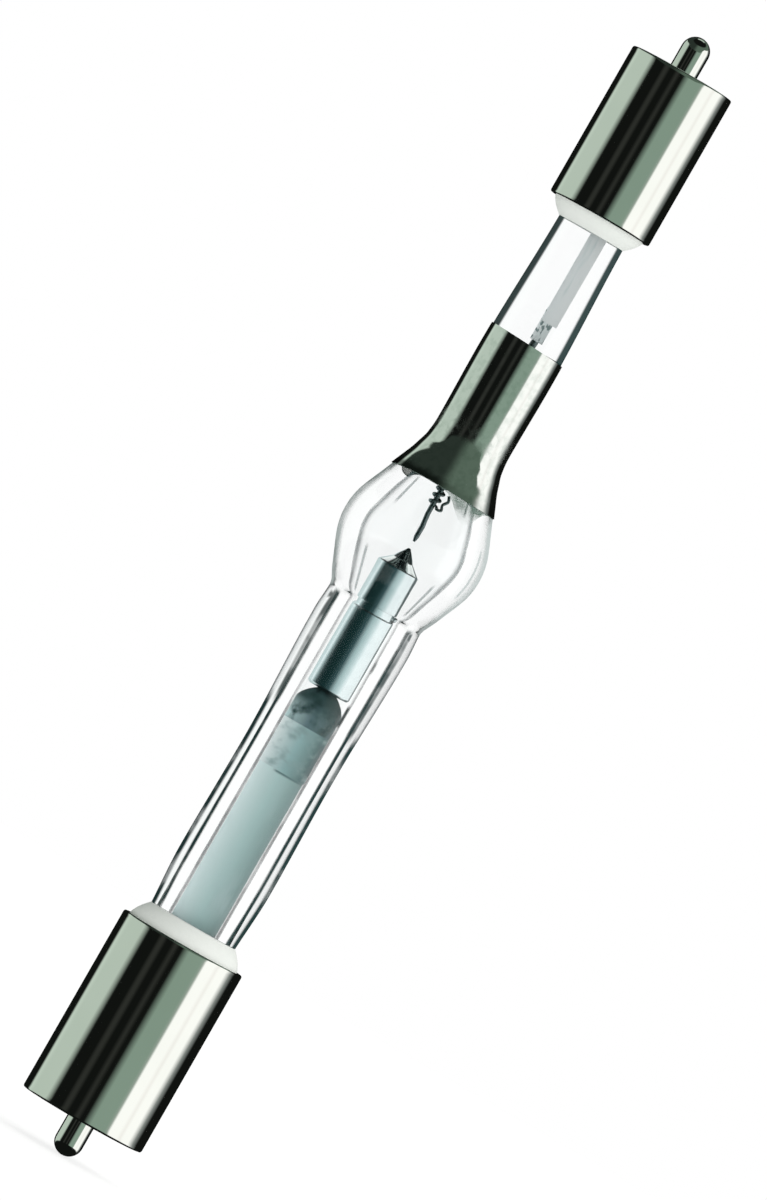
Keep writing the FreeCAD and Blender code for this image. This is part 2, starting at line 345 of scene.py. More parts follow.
@dataclass(frozen=True)
class PaintedStreak:
    """Painted dark streak down the bulb, a painted shade where a ripple in the glass shows dark
    surroundings: its bearing in degrees and its two ends in millimetres.
    """

    bearing: float
    low: float
    high: float
    strength: float = 0.6
    width: float = 2.6
    fade: float = 0.5
    core: float = 0.3

    def drawn(self, tree: Tree, bearing: Sock, height: Sock) -> Sock:
        """Draws the streak, full in its core.

        Args:
            tree: the tree that takes the nodes.
            bearing: angle about the lamp's axis, 0 in front and rising to the right.
            height: height on the lamp.

        Returns:
            Share of the streak at each spot.
        """
        # Painted shade: a dark streak about the given bearing, between its two heights
        off = abs(bearing - math.radians(self.bearing))
        line = 1 - tree.step(off, self.core * math.radians(self.width), math.radians(self.width))
        above = tree.step(height, self.low * MM, (self.low + self.fade) * MM)
        below = tree.step(height, (self.high - self.fade) * MM, self.high * MM)
        return line * (above - below) * self.strength


@dataclass(frozen=True)
class EdgeLines:
    """Painted dark lines of one side of a glass skin, on each stretch of the lamp."""

    seal: tuple[EdgeLine, ...] = ()
    shaft: tuple[EdgeLine, ...] = ()
    bulb: tuple[EdgeLine, ...] = ()
    upper: tuple[EdgeLine, ...] = ()

    def drawn(self, tree: Tree, facing: Sock, rises: Sequence[Sock]) -> Sock:
        """Draws the lines.

        Args:
            tree: the tree that takes the nodes.
            facing: 0 where the skin faces the eye, 1 where the eye grazes it.
            rises: 1 above the seal, above the bulb's root and above the bulb.

        Returns:
            Share of the lines at each spot, 1 where one is full.
        """
        stretches = [1 - rises[0], rises[0] - rises[1], rises[1] - rises[2], rises[2]]
        total = facing * 0.0
        for lines, within in zip((self.seal, self.shaft, self.bulb, self.upper), stretches):
            if lines:
                share = lines[0].drawn(tree, facing)
                for line in lines[1:]:
                    share = share.larger(line.drawn(tree, facing))
                total = total + share * within
        return total


@dataclass(frozen=True)
class FusedQuartz:
    """One skin of the hand-worked clear quartz, with dark lines painted where the eye grazes its edges, as
    painted shade for the dark surroundings that the glass shows there.

    Its lines change at three heights: the tops of the seal, of the lower shaft and of the bulb.
    """

    name: str
    from_air: EdgeLines
    from_glass: EdgeLines
    painted_streaks: tuple[PaintedStreak, ...]
    painted_bulb_line_shade: Colour
    clear: Colour = (0.988, 0.998, 0.997)
    refraction: float = 1.46
    painted_line_shade: Colour = (0.02, 0.045, 0.045)
    line_roughness: float = 0.9
    tops: tuple[float, float, float] = (31.4 * MM, 39.1 * MM, 48.6 * MM)
    blends: tuple[float, float, float] = (1.4 * MM, 0.5 * MM, 0.7 * MM)
    unevenness: float = 0.35
    drift_size: float = 3.6 * MM
    drift_stretch: Stretch = (1.0, 1.0, 1.6)
    drift_range: Range = (0.45, 0.65)
    striae_size: float = 0.9 * MM
    striae_stretch: Stretch = (1.0, 1.0, 0.12)
    striae_depth: float = 0.006 * MM

    def material(self) -> bpy.types.Material:
        """Clear glass with drawn-out striae, with painted dark lines at its edges and painted dark streaks
        down the bulb.

        Returns:
            The finish, ready for a piece.
        """
        material, tree = new_tree(self.name)
        place = tree.place()
        side, away, height = tree.parts(place)
        rises = [tree.step(height, top - blend, top) for top, blend in zip(self.tops, self.blends)]
        in_bulb = rises[1] - rises[2]
        # Painted shade: dark lines where the eye grazes the skin, drawn in a dull dark shader mixed over the
        # glass
        facing = tree.node("ShaderNodeLayerWeight", None, {"Blend": 0.5}, "Facing")
        behind = tree.node("ShaderNodeNewGeometry", output="Backfacing")
        line = self.from_air.drawn(tree, facing, rises) * (1 - behind)
        line = line + self.from_glass.drawn(tree, facing, rises) * behind
        drift = tree.noise(tree.stretched(place, self.drift_stretch), self.drift_size)
        line = line * (1 - tree.step(drift, *self.drift_range) * (1 - rises[2]) * self.unevenness)
        # Painted dark streaks, which reflections in polished pieces don't show
        bearing = tree.node("ShaderNodeMath", {"operation": "ARCTAN2"}, {0: side, 1: 0 - away})
        mirrored = tree.node("ShaderNodeLightPath", output="Glossy Depth") > 0.5
        for streak in self.painted_streaks:
            line = line.larger(streak.drawn(tree, bearing, height) * (1 - mirrored))
        # Light that bounced off dull pieces sees neither the painted lines nor the painted streaks
        scattered = tree.node("ShaderNodeLightPath", output="Diffuse Depth") > 0.5
        line = line * (1 - scattered)
        striae = tree.noise(tree.stretched(place, self.striae_stretch), self.striae_size)
        glass = tree.principled(
            {
                "Base Color": (*self.clear, 1.0),
                "Roughness": 0.0,
                "IOR": self.refraction,
                "Transmission Weight": 1.0,
                "Normal": tree.bump(striae, self.striae_depth),
            }
        )
        # Colour of the painted shade, lighter in the bulb
        shade = tree.mix(in_bulb, self.painted_line_shade, self.painted_bulb_line_shade)
        dull = {"Roughness": self.line_roughness, "Specular IOR Level": 0.0}
        tree.layered(line, glass, tree.principled({"Base Color": shade, **dull}))
        return material


@dataclass(frozen=True)
class BaseCement:
    """White cement between quartz and shell."""

    name: str
    colour: Colour = (0.93, 0.95, 0.92)
    shade: Colour = (0.86, 0.9, 0.86)
    roughness: float = 0.45
    roughness_swing: float = 0.2
    cloud_size: float = 2.1 * MM
    grain_size: float = 0.35 * MM
    grain_depth: float = 0.02 * MM

    def material(self) -> bpy.types.Material:
        """Fine chalky grain with faint clouds.

        Returns:
            The finish, ready for a piece.
        """
        material, tree = new_tree(self.name)
        place = tree.place()
        grain = tree.noise(place, self.grain_size, GRAIN_DETAIL)
        clouds = tree.noise(place, self.cloud_size)
        tree.surface(
            {
                "Base Color": tree.mix(clouds, self.shade, self.colour),
                "Roughness": self.roughness + grain * self.roughness_swing,
                "Normal": tree.bump(grain, self.grain_depth),
            }
        )
        return material


@dataclass(frozen=True)
class DrawnMetal:
    """Metal of the electrodes and seals, with grinding or drawing lines along or round the lamp."""

    name: str
    colour: Colour
    worn_colour: Colour
    roughness: float
    roughness_swing: float
    line_stretch: Stretch
    line_size: float = 0.08 * MM
    line_depth: float = 0.002 * MM
    cloud_size: float = 0.9 * MM

    def material(self) -> bpy.types.Material:
        """Clouded metal with fine lines.

        Returns:
            The finish, ready for a piece.
        """
        material, tree = new_tree(self.name)
        place = tree.place()
        clouds = tree.noise(place, self.cloud_size, CLOUD_DETAIL)
        lines = tree.noise(tree.stretched(place, self.line_stretch), self.line_size)
        tree.surface(
            {
                "Base Color": tree.mix(clouds, self.worn_colour, self.colour),
                "Metallic": 1.0,
                "Roughness": self.roughness + clouds * self.roughness_swing,
                "Normal": tree.bump(lines, self.line_depth),
            }
        )
        return material


@dataclass(frozen=True)
class SealMetal:
    """Dull molybdenum of the seals, with painted shading that runs from a colour on the lamp's left to one
    on its right.
    """

    name: str
    # Painted shading: the colours on the lamp's left, in the middle and on its right
    left: Colour
    middle: Colour
    right: Colour
    stain: Colour
    stain_range: Range
    stain_stretch: Stretch = EVEN_GRAIN
    stain_size: float = 0.8 * MM
    # Painted shade over the top where one is given, and the heights over which it sets in
    top: Colour | None = None
    top_range: Range = (30.4 * MM, 31.9 * MM)
    seam: Colour | None = None
    seam_height: float = 26.46 * MM
    seam_width: float = 0.16 * MM
    seam_range: Range = (-0.6 * MM, -0.2 * MM)
    half_width: float = 1.7 * MM
    painted_shade_places: tuple[float, float, float] = (0.05, 0.5, 0.95)
    metallic: float = 0.12
    roughness: float = 0.5
    roughness_swing: float = 0.15
    gloss: float = 0.15
    line_size: float = 0.07 * MM
    line_depth: float = 0.004 * MM

    def material(self) -> bpy.types.Material:
        """Metal with painted shading from side to side and over the top, stains and fine rolling lines.

        Returns:
            The finish, ready for a piece.
        """
        material, tree = new_tree(self.name)
        place = tree.place()
        side, _, height = tree.parts(place)
        across = side / (2 * self.half_width) + 0.5
        # Painted shading across the lamp, from its left to its right
        painted_shade_and_stains = tree.ramp(across, list(zip(self.painted_shade_places, (self.left, self.middle, self.right))))
        # Painted shade over the top
        if self.top:
            painted_shade_and_stains = tree.mix(tree.step(height, *self.top_range), painted_shade_and_stains, self.top)
        stains = tree.noise(tree.stretched(place, self.stain_stretch), self.stain_size, CLOUD_DETAIL)
        painted_shade_and_stains = tree.mix(tree.step(stains, *self.stain_range), painted_shade_and_stains, self.stain)
        if self.seam:
            below = tree.step(height, self.seam_height - self.seam_width, self.seam_height)
            above = tree.step(height, self.seam_height, self.seam_height + self.seam_width)
            painted_shade_and_stains = tree.mix((below - above) * tree.step(side, *self.seam_range), painted_shade_and_stains, self.seam)
        lines = tree.noise(tree.stretched(place, LENGTHWISE_LINES), self.line_size)
        tree.surface(
            {
                "Base Color": painted_shade_and_stains,
                "Metallic": self.metallic,
                "Specular IOR Level": self.gloss,
                "Roughness": self.roughness + lines * self.roughness_swing,
                "Normal": tree.bump(lines, self.line_depth),
            }
        )
        return material


@dataclass(frozen=True)
class MirrorCoating:
    """Bright metallic coating that is scorched along its lower edge, most on the lamp's left."""

    name: str
    edge: float
    colour: Colour = (0.88, 0.9, 0.88)
    clouded_colour: Colour = (0.76, 0.8, 0.77)
    scorched_colour: Colour = (0.2, 0.21, 0.2)
    scorch_height: float = 0.5 * MM
    scorch_waver: float = 0.4 * MM
    scorch_lost_rightwards: float = 0.8
    half_width: float = 1.5 * MM
    cloud_size: float = 0.45 * MM
    cloud_range: Range = (0.4, 0.7)
    roughness: float = 0.04
    roughness_swing: float = 0.05
    haze: float = 0.16
    haze_foot: Range = (51.2 * MM, 51.5 * MM)
    haze_head: Range = (52.5 * MM, 53.7 * MM)
    haze_range: Range = (0.25, 0.65)

    def material(self) -> bpy.types.Material:
        """Clouds in the mirror, hazy patches over the flare and the scorched edge.

        Returns:
            The finish, ready for a piece.
        """
        material, tree = new_tree(self.name)
        place = tree.place()
        side, _, height = tree.parts(place)
        clouds = tree.noise(place, self.cloud_size, CLOUD_DETAIL)
        mirror = tree.mix(tree.step(clouds, *self.cloud_range), self.colour, self.clouded_colour)
        wavering = height - clouds * self.scorch_waver
        near_edge = 1 - tree.step(wavering, self.edge, self.edge + self.scorch_height)
        rightwards = tree.step(side, -self.half_width, self.half_width)
        scorched = near_edge * (1 - rightwards * self.scorch_lost_rightwards)
        within = tree.step(height, *self.haze_foot) - tree.step(height, *self.haze_head)
        hazy = within * tree.step(clouds, *self.haze_range)
        tree.surface(
            {
                "Base Color": tree.mix(scorched, mirror, self.scorched_colour),
                "Metallic": 1.0,
                "Roughness": self.roughness + clouds * self.roughness_swing + hazy * self.haze,
            }
        )
        return material


@dataclass(frozen=True)
class CoatingStain:
    """Thin film that the coating left below its edge, thinner and thinner downwards."""

    name: str
    edge: float
    reach: float = 1.6 * MM
    overlap: float = 0.3 * MM
    colour: Colour = (0.14, 0.22, 0.18)
    thin_colour: Colour = (0.24, 0.33, 0.28)
    thinnest: float = 0.3
    patch_size: float = 0.9 * MM
    patch_range: Range = (0.25, 0.75)
    roughness: float = 0.5

    def material(self) -> bpy.types.Material:
        """Film that fades downwards and in soft patches.

        Returns:
            The finish, ready for a piece.
        """
        material, tree = new_tree(self.name)
        place = tree.place()
        height = tree.parts(place)[2]
        patches = tree.step(tree.noise(place, self.patch_size), *self.patch_range)
        film = tree.step(height, self.edge - self.reach, self.edge + self.overlap)
        tree.surface(
            {
                "Base Color": tree.mix(patches, self.thin_colour, self.colour),
                "Roughness": self.roughness,
                "Alpha": film * (patches * (1 - self.thinnest) + self.thinnest),
            }
        )
        return material


@dataclass(frozen=True)
class LiquidMercury:
    """Bead of condensed mercury."""

    name: str
    colour: Colour = (0.6, 0.62, 0.63)
    skin_colour: Colour = (0.42, 0.44, 0.45)
    skin_size: float = 0.3 * MM
    roughness: float = 0.02
    roughness_swing: float = 0.08

    def material(self) -> bpy.types.Material:
        """Mirror with a faint oxide skin.

        Returns:
            The finish, ready for a piece.
        """
        material, tree = new_tree(self.name)
        skin = tree.noise(tree.place(), self.skin_size)
        tree.surface(
            {
                "Base Color": tree.mix(skin, self.colour, self.skin_colour),
                "Metallic": 1.0,
                "Roughness": self.roughness + skin * self.roughness_swing,
            }
        )
        return material


# Both quartz skins carry painted shade: dark edge lines and dark streaks that stand in for dark surroundings
# seen through the glass
QUARTZ_SKIN = FusedQuartz(
    "quartz_skin",
    from_air=EdgeLines(
        seal=(EdgeLine(0.55, 0.67, 1.0), EdgeLine(0.34, 0.39, 0.95, (0.41, 0.47))),
        shaft=(EdgeLine(0.66, 0.86, 0.55), EdgeLine(0.31, 0.36, 0.9, (0.46, 0.54))),
        bulb=(EdgeLine(0.56, 0.74, 1.0),),
        upper=(EdgeLine(0.4, 0.5, 0.97),),
    ),
    from_glass=EdgeLines(),
    painted_streaks=(
        PaintedStreak(62.0, 42.0, 46.0, 0.9),
        PaintedStreak(-60.0, 38.0, 38.75, 0.85, 9.0, 0.3),
        PaintedStreak(58.0, 38.0, 38.9, 0.85, 5.0, 0.3),
    ),
    painted_bulb_line_shade=(0.52, 0.57, 0.57),
)
QUARTZ_WALL = FusedQuartz(
    "quartz_wall",
    from_air=EdgeLines(
        seal=(EdgeLine(0.42, 0.64, 0.85),),
        shaft=(EdgeLine(0.5, 0.74, 0.6),),
        bulb=(EdgeLine(0.5, 0.72, 0.9),),
        upper=(EdgeLine(0.58, 0.85, 0.6),),
    ),
    from_glass=EdgeLines(seal=(EdgeLine(0.56, 0.7, 1.0),), shaft=(EdgeLine(0.54, 0.68, 0.85),)),
    painted_streaks=(
        PaintedStreak(-40.0, 45.4, 48.0),
        PaintedStreak(-42.0, 39.4, 42.8),
        PaintedStreak(44.0, 39.6, 42.6),
        PaintedStreak(41.0, 46.8, 48.2, 0.8),
        PaintedStreak(53.0, 34.9, 36.2, 0.6, 5.0, 0.5),
        PaintedStreak(49.5, 30.8, 32.7, 0.95, 5.0, 0.4),
    ),
    painted_bulb_line_shade=(0.2, 0.27, 0.27),
)
GROUND_TUNGSTEN = DrawnMetal(
    "ground_tungsten",
    colour=(0.88, 0.92, 0.92),
    worn_colour=(0.76, 0.81, 0.82),
    roughness=0.04,
    roughness_swing=0.04,
    line_stretch=ROUND_LINES,
)
TUNGSTEN_WIRE = DrawnMetal(
    "tungsten_wire",
    colour=(0.2, 0.24, 0.24),
    worn_colour=(0.1, 0.12, 0.12),
    roughness=0.3,
    roughness_swing=0.1,
    line_stretch=LENGTHWISE_LINES,
)
SOFT_SOLDER = DrawnMetal(
    "soft_solder",
    colour=(0.6, 0.6, 0.6),
    worn_colour=(0.4, 0.4, 0.4),
    roughness=0.4,
    roughness_swing=0.2,
    line_stretch=EVEN_GRAIN,
)
HAMMERED_TUNGSTEN = SealMetal(
    "hammered_tungsten",
    left=(0.7, 0.78, 0.78),
    middle=(0.9, 0.96, 0.96),
    right=(0.85, 0.92, 0.92),
    stain=(0.22, 0.3, 0.3),
    stain_range=(0.5, 0.6),
    stain_size=0.35 * MM,
)
# Painted shading: lit on the left, shaded towards the right, and painted shade over the top
MOLYBDENUM_COLLAR = SealMetal(
    "molybdenum_collar",
    left=(0.6, 0.8, 0.8),
    middle=(0.15, 0.24, 0.26),
    right=(0.1, 0.19, 0.19),
    stain=(0.03, 0.07, 0.07),
    stain_range=(0.4, 0.75),
    top=(0.05, 0.1, 0.1),
)
# Painted highlight on the left and painted shade towards the right
MOLYBDENUM_BAND = SealMetal(
    "molybdenum_band",
    left=(0.92, 1.0, 1.0),
    middle=(0.45, 0.68, 0.68),
    right=(0.04, 0.12, 0.12),
    stain=(0.36, 0.52, 0.52),
    stain_range=(0.46, 0.74),
    stain_stretch=(1.0, 1.0, 1.4),
    stain_size=1.1 * MM,
)
# Painted shading: lighter on the left, darker towards the right
MOLYBDENUM_FOIL = SealMetal(
    "molybdenum_foil",
    left=(0.86, 1.0, 1.0),
    middle=(0.62, 0.84, 0.82),
    right=(0.24, 0.39, 0.38),
    stain=(0.6, 0.76, 0.76),
    stain_range=(0.5, 0.8),
    stain_stretch=(0.6, 0.6, 0.15),
    seam=(0.16, 0.28, 0.28),
)
MOLYBDENUM_STRIP = SealMetal(
    "molybdenum_strip",
    left=(0.9, 1.0, 1.0),
    middle=(0.95, 1.0, 1.0),
    right=(1.0, 1.0, 1.0),
    stain=(0.7, 0.8, 0.8),
    stain_range=(0.5, 0.9),
    stain_stretch=(1.0, 1.0, 0.3),
)


# Meshes

# Least cosine between a wall's normal and the radius, for a face that counts as a wall
LEAST_FACING = 0.3

# Least turns of an outline that counts as a corner, and of edges that stay sharp
LEAST_CORNER = math.radians(15)
SHARP_EDGE = math.radians(40)
SHARP_WIRE_EDGE = math.radians(50)

# Fineness of a round wire, in Blender's own steps
WIRE_ROUNDNESS = 6

# Rings whose heights agree to so many decimals of a millimetre are one
HEIGHT_DIGITS = 2


class Facing(Enum):
    """Which of a turned node's walls are read."""

    OUTWARD = 1
    INWARD = -1


@dataclass(frozen=True)
class Span:
    """Largest radius and the two ends of a turned node, in metres."""

    radius: float
    bottom: float
    top: float

    @classmethod
    def of(cls, node: str) -> "Span":
        """Reads a node's box."""
        low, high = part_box(node)
        return cls((high.y - low.y) / 2, low.z, high.z)

    @property
    def length(self) -> float:
        """Distance between its ends."""
        return self.top - self.bottom


def wall_rings(node: bpy.types.Object, facing: Facing, least_radius: float) -> Outline:
    """Rings of a turned node's walls.

    Args:
        node: a CAD node whose axis is the lamp's.
        facing: whether walls that look away from the axis or towards it are read.
        least_radius: rings smaller than this are left out.

    Returns:
        Radius and height of each ring, upwards.
    """
    widest: dict[float, float] = {}
    vertices = node.data.vertices
    for face in node.data.polygons:
        across = Vector((face.center.x, face.center.y, 0.0))
        if across.length < AXIS_LIMIT:
            continue
        if face.normal.dot(across.normalized()) * facing.value < LEAST_FACING:
            continue
        for index in face.vertices:
            spot = vertices[index].co
            radius = math.hypot(spot.x, spot.y)
            if radius > least_radius:
                height = round(spot.z / MM, HEIGHT_DIGITS)
                widest[height] = max(widest.get(height, 0.0), radius)
    return [(radius, height * MM) for height, radius in sorted(widest.items())]


def smooth_rings(rings: Outline, pitch: float) -> Outline:
    """Rings on a smooth curve through the given ones, without overshoot.

    Args:
        rings: radius and height of each ring, upwards.
        pitch: about how far apart the new rings stand.

    Returns:
        The denser rings, upwards.
    """
    runs = [high - low for (_, low), (_, high) in zip(rings, rings[1:])]
    slopes = [(after[0] - before[0]) / run for before, after, run in zip(rings, rings[1:], runs)]
    tangents = [slopes[0]]
    for before, after in zip(slopes, slopes[1:]):
        tangents.append(2 * before * after / (before + after) if before * after > 0 else 0.0)
    tangents.append(slopes[-1])
    dense: Outline = []
    for index, run in enumerate(runs):
        start, height = rings[index]
        end = rings[index + 1][0]
        leave, arrive = tangents[index], tangents[index + 1]
        steps = max(1, round(run / pitch))
        for step in range(steps):
            t = step / steps
            near = (1 + 2 * t) * (1 - t) ** 2
            far = t * t * (3 - 2 * t)
            bend = t * (1 - t) ** 2 * leave - t * t * (1 - t) * arrive
            dense.append((near * start + far * end + run * bend, height + t * run))
    dense.append(rings[-1])
    return dense


def eased(outline: Outline, ease: float, steps: int = 3) -> Outline:
    """Outline whose sharp corners are rounded.

    Args:
        outline: radius and height of each corner.
        ease: how far from a corner its rounding starts.
        steps: runs in each rounding.

    Returns:
        The outline with a few points for each sharp corner.
    """
    points = [Vector(point) for point in outline]
    result = [outline[0]]
    for before, here, after in zip(points, points[1:], points[2:]):
        back, ahead = before - here, after - here
        if back.angle(-ahead) < LEAST_CORNER:
            result.append(tuple(here))
            continue
        cut = min(ease, 0.45 * back.length, 0.45 * ahead.length)
        start = here + back.normalized() * cut
        end = here + ahead.normalized() * cut
        for step in range(steps + 1):
            t = step / steps
            result.append(tuple(start * (1 - t) ** 2 + here * (2 * t * (1 - t)) + end * t * t))
    result.append(outline[-1])
    return result


def flank(start: tuple[float, float], end: tuple[float, float], inset: float) -> Outline:
    """Support points near the ends of a straight flank, which keep its shading straight between them.

    Args:
        start: radius and height of its first end.
        end: the same, of its other end.
        inset: how far from each end its point lies.

    Returns:
        The two points.
    """
    low, high = Vector(start), Vector(end)
    step = (high - low).normalized() * inset
    return [tuple(low + step), tuple(high - step)]


def turned_object(name: str, outlines: Sequence[Outline], turns: int = 160) -> bpy.types.Object:
    """Object made of surfaces turned about the lamp's axis.

    Args:
        name: the piece's name.
        outlines: each runs anticlockwise round its material, radius to the right and height up. One that
            starts off the axis is closed on itself.
        turns: faces round the axis.

    Returns:
        The object, smooth shaded with its sharp edges kept. Each outline's faces have a material slot.
    """
    vertices: list[tuple[float, float, float]] = []
    faces: list[list[int]] = []
    surfaces: list[int] = []
    for surface, outline in enumerate(outlines):
        rings: list[list[int]] = []
        for radius, height in outline:
            first = len(vertices)
            if radius < AXIS_LIMIT:
                vertices.append((0.0, 0.0, height))
                rings.append([first] * turns)
                continue
            for turn in range(turns):
                angle = 2 * math.pi * turn / turns
                vertices.append((radius * math.cos(angle), radius * math.sin(angle), height))
            rings.append(list(range(first, first + turns)))
        if outline[0][0] > AXIS_LIMIT:
            rings.append(rings[0])
        for low, high in zip(rings, rings[1:]):
            for turn in range(turns):
                after = (turn + 1) % turns
                corners = list(dict.fromkeys([low[turn], low[after], high[after], high[turn]]))
                if len(corners) > 2:
                    faces.append(corners)
                    surfaces.append(surface)
    made = mesh_object(name, vertices, faces)
    made.data.polygons.foreach_set("material_index", surfaces)
    return made


def mesh_object(
    name: str, vertices: Sequence[Sequence[float]], faces: Sequence[Sequence[int]]
) -> bpy.types.Object:
    """Smooth shaded object with sharp edges kept.

    Args:
        name: the piece's name.
        vertices: the place of each corner.
        faces: the corners of each face, by their numbers.

    Returns:
        The object, linked to the scene.
    """
    mesh = bpy.data.meshes.new(name)
    mesh.from_pydata(vertices, [], faces)
    mesh.shade_smooth()
    mesh.set_sharp_from_angle(angle=SHARP_EDGE)
    made = bpy.data.objects.new(name, mesh)
    bpy.context.scene.collection.objects.link(made)
    return made


def wire_object(
    name: str, route: Sequence[Vector], radius: float, tips: Sequence[float] = ()
) -> bpy.types.Object:
    """Round wire along a route, as a mesh.

    Args:
        name: the piece's name.
        route: points that the wire passes through.
        radius: the wire's radius.
        tips: share of the radius at each point, or nothing for a plain wire.

    Returns:
        The wire's object.
    """
    curve = bpy.data.curves.new(name, "CURVE")
    curve.dimensions = "3D"
    curve.bevel_depth = radius
    curve.bevel_resolution = WIRE_ROUNDNESS
    curve.use_fill_caps = True
    spline = curve.splines.new("POLY")
    spline.points.add(len(route) - 1)
    for index, spot in enumerate(route):
        spline.points[index].co = (*spot, 1.0)
        spline.points[index].radius = tips[index] if tips else 1.0
    carrier = bpy.data.objects.new(name + "_line", curve)
    bpy.context.scene.collection.objects.link(carrier)
    mesh = bpy.data.meshes.new_from_object(carrier.evaluated_get(bpy.context.evaluated_depsgraph_get()))
    bpy.data.objects.remove(carrier)
    mesh.name = name
    mesh.shade_smooth()
    mesh.set_sharp_from_angle(angle=SHARP_WIRE_EDGE)
    made = bpy.data.objects.new(name, mesh)
    bpy.context.scene.collection.objects.link(made)
    return made


def curved(spots: Sequence[Vector], steps: int = 5) -> list[Vector]:
    """Smooth route through every spot, by cubic pieces whose slopes follow the spots on either side.

    Args:
        spots: the points to pass through.
        steps: runs between two of them.

    Returns:
        The points of the route.
    """
    padded = [spots[0], *spots, spots[-1]]
    route = []
    for before, start, end, after in zip(padded, padded[1:], padded[2:], padded[3:]):
        squared = 2 * before - 5 * start + 4 * end - after
        cubed = 3 * (start - end) + after - before
        for step in range(steps):
            t = step / steps
            route.append(start + ((end - before) * t + squared * t**2 + cubed * t**3) / 2)
    return [*route, spots[-1]]


def settle(piece: bpy.types.Object, material: bpy.types.Material, slot: str, *nodes: str) -> None:
    """Dresses a piece, lets it stand for its CAD nodes and lets it ride on the lamp.

    Args:
        piece: the new object.
        material: its finish.
        slot: the record's material slot.
        nodes: the CAD nodes that it replaces.
    """
    piece.data.materials.append(material)
    if nodes:
        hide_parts(*nodes)
    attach(piece, ROOT_BODY)
    log.info("%s: %d faces, %s", piece.name, len(piece.data.polygons), slot)


# Sub-assemblies


class LampEnd(Enum):
    """End of the lamp, by the way in which its base opens: up or down."""

    ANODE = 1
    CATHODE = -1

    def part(self, name: str) -> str:
        """Full name of a piece or CAD node at this end."""
        return f"{self.name.lower()}_{name}"


@dataclass
class Base:
    """One plated base with its contact pin and its ring of cement."""

    lamp_end: LampEnd
    nickel: bpy.types.Material
    cement: bpy.types.Material
    wall: float = 0.4 * MM
    end_wall: float = 1.2 * MM
    edge_ease: float = 0.16 * MM
    flank_inset: float = 0.36 * MM
    cement_thickness: float = 0.95 * MM
    cement_sink: float = 0.03 * MM
    cement_bow: float = 0.12 * MM
    dome_steps: int = 12
    bead_steps: int = 8
    shell: Span = field(init=False)

    def build(self) -> None:
        """Makes the shell, the pin and the cement."""
        self.shell = Span.of(self.lamp_end.part("base_shell"))
        self._shell()
        self._pin()
        self._cement_ring()

    def _shell(self) -> None:
        """Turns the shell, a cup with a hole for the pin in its end."""
        shell = self.shell
        hole = Span.of(self.lamp_end.part("base_pin")).radius
        inner = shell.radius - self.wall
        outline = [
            (hole, 0.0),
            (shell.radius, 0.0),
            *flank((shell.radius, 0.0), (shell.radius, shell.length), self.flank_inset),
            (shell.radius, shell.length),
            (inner, shell.length),
            (inner, self.end_wall),
            (hole, self.end_wall),
        ]
        closed = eased([*outline, *outline[:2]], self.edge_ease)
        self._stand("shell", closed[1:-1], self.nickel, "nickel_plating", "base_shell")

    def _pin(self) -> None:
        """Turns the pin, with its domed end outwards."""
        pin = Span.of(self.lamp_end.part("base_pin"))
        low, high = self._depths(pin)
        outline = [(0.0, low)]
        for step in range(1, self.dome_steps + 1):
            angle = math.pi / 2 * step / self.dome_steps
            outline.append((pin.radius * math.sin(angle), pin.radius * (1 - math.cos(angle)) + low))
        outline += [(pin.radius, high), (0.0, high)]
        self._stand("pin", outline, self.nickel, "nickel_plating", "base_pin")

    def _cement_ring(self) -> None:
        """Turns the cement, whose bead bows out between the shell's mouth and the quartz."""
        low, high = self._depths(Span.of(self.lamp_end.part("cement")))
        mouth = self.shell.length
        inner = self.shell.radius - self.wall
        quartz = inner - self.cement_thickness
        core = quartz - self.cement_sink
        bead = [(inner, mouth - self.edge_ease)]
        for step in range(1, self.bead_steps + 1):
            t = step / self.bead_steps
            radius = inner + (quartz - inner) * t + self.cement_bow * math.sin(math.pi * t)
            bead.append((radius, mouth + (high - mouth) * t))
        outline = [(core, low), (inner, low), *bead, (core, high)]
        self._stand("cement_ring", outline, self.cement, "cement", "cement")

    def _end(self) -> float:
        """Height of the base's end face."""
        return self.shell.bottom if self.lamp_end is LampEnd.ANODE else self.shell.top

    def _depths(self, span: Span) -> Range:
        """Distances of a node's two ends from the base's end face, into the lamp."""
        heights = (span.bottom, span.top)
        return tuple(sorted((height - self._end()) * self.lamp_end.value for height in heights))

    def _stand(
        self, name: str, outline: Outline, material: bpy.types.Material, slot: str, node: str
    ) -> None:
        """Turns an outline at its end of the lamp.

        Args:
            name: the piece's name, without the lamp's end.
            outline: radius and distance from the base's end face.
            material: its finish.
            slot: the record's material slot.
            node: the CAD node that it replaces, without the lamp's end.
        """
        placed = [(radius, self._end() + self.lamp_end.value * depth) for radius, depth in outline]
        if self.lamp_end is LampEnd.CATHODE:
            placed.reverse()
        piece = turned_object(self.lamp_end.part(name), [placed])
        settle(piece, material, slot, self.lamp_end.part(node))


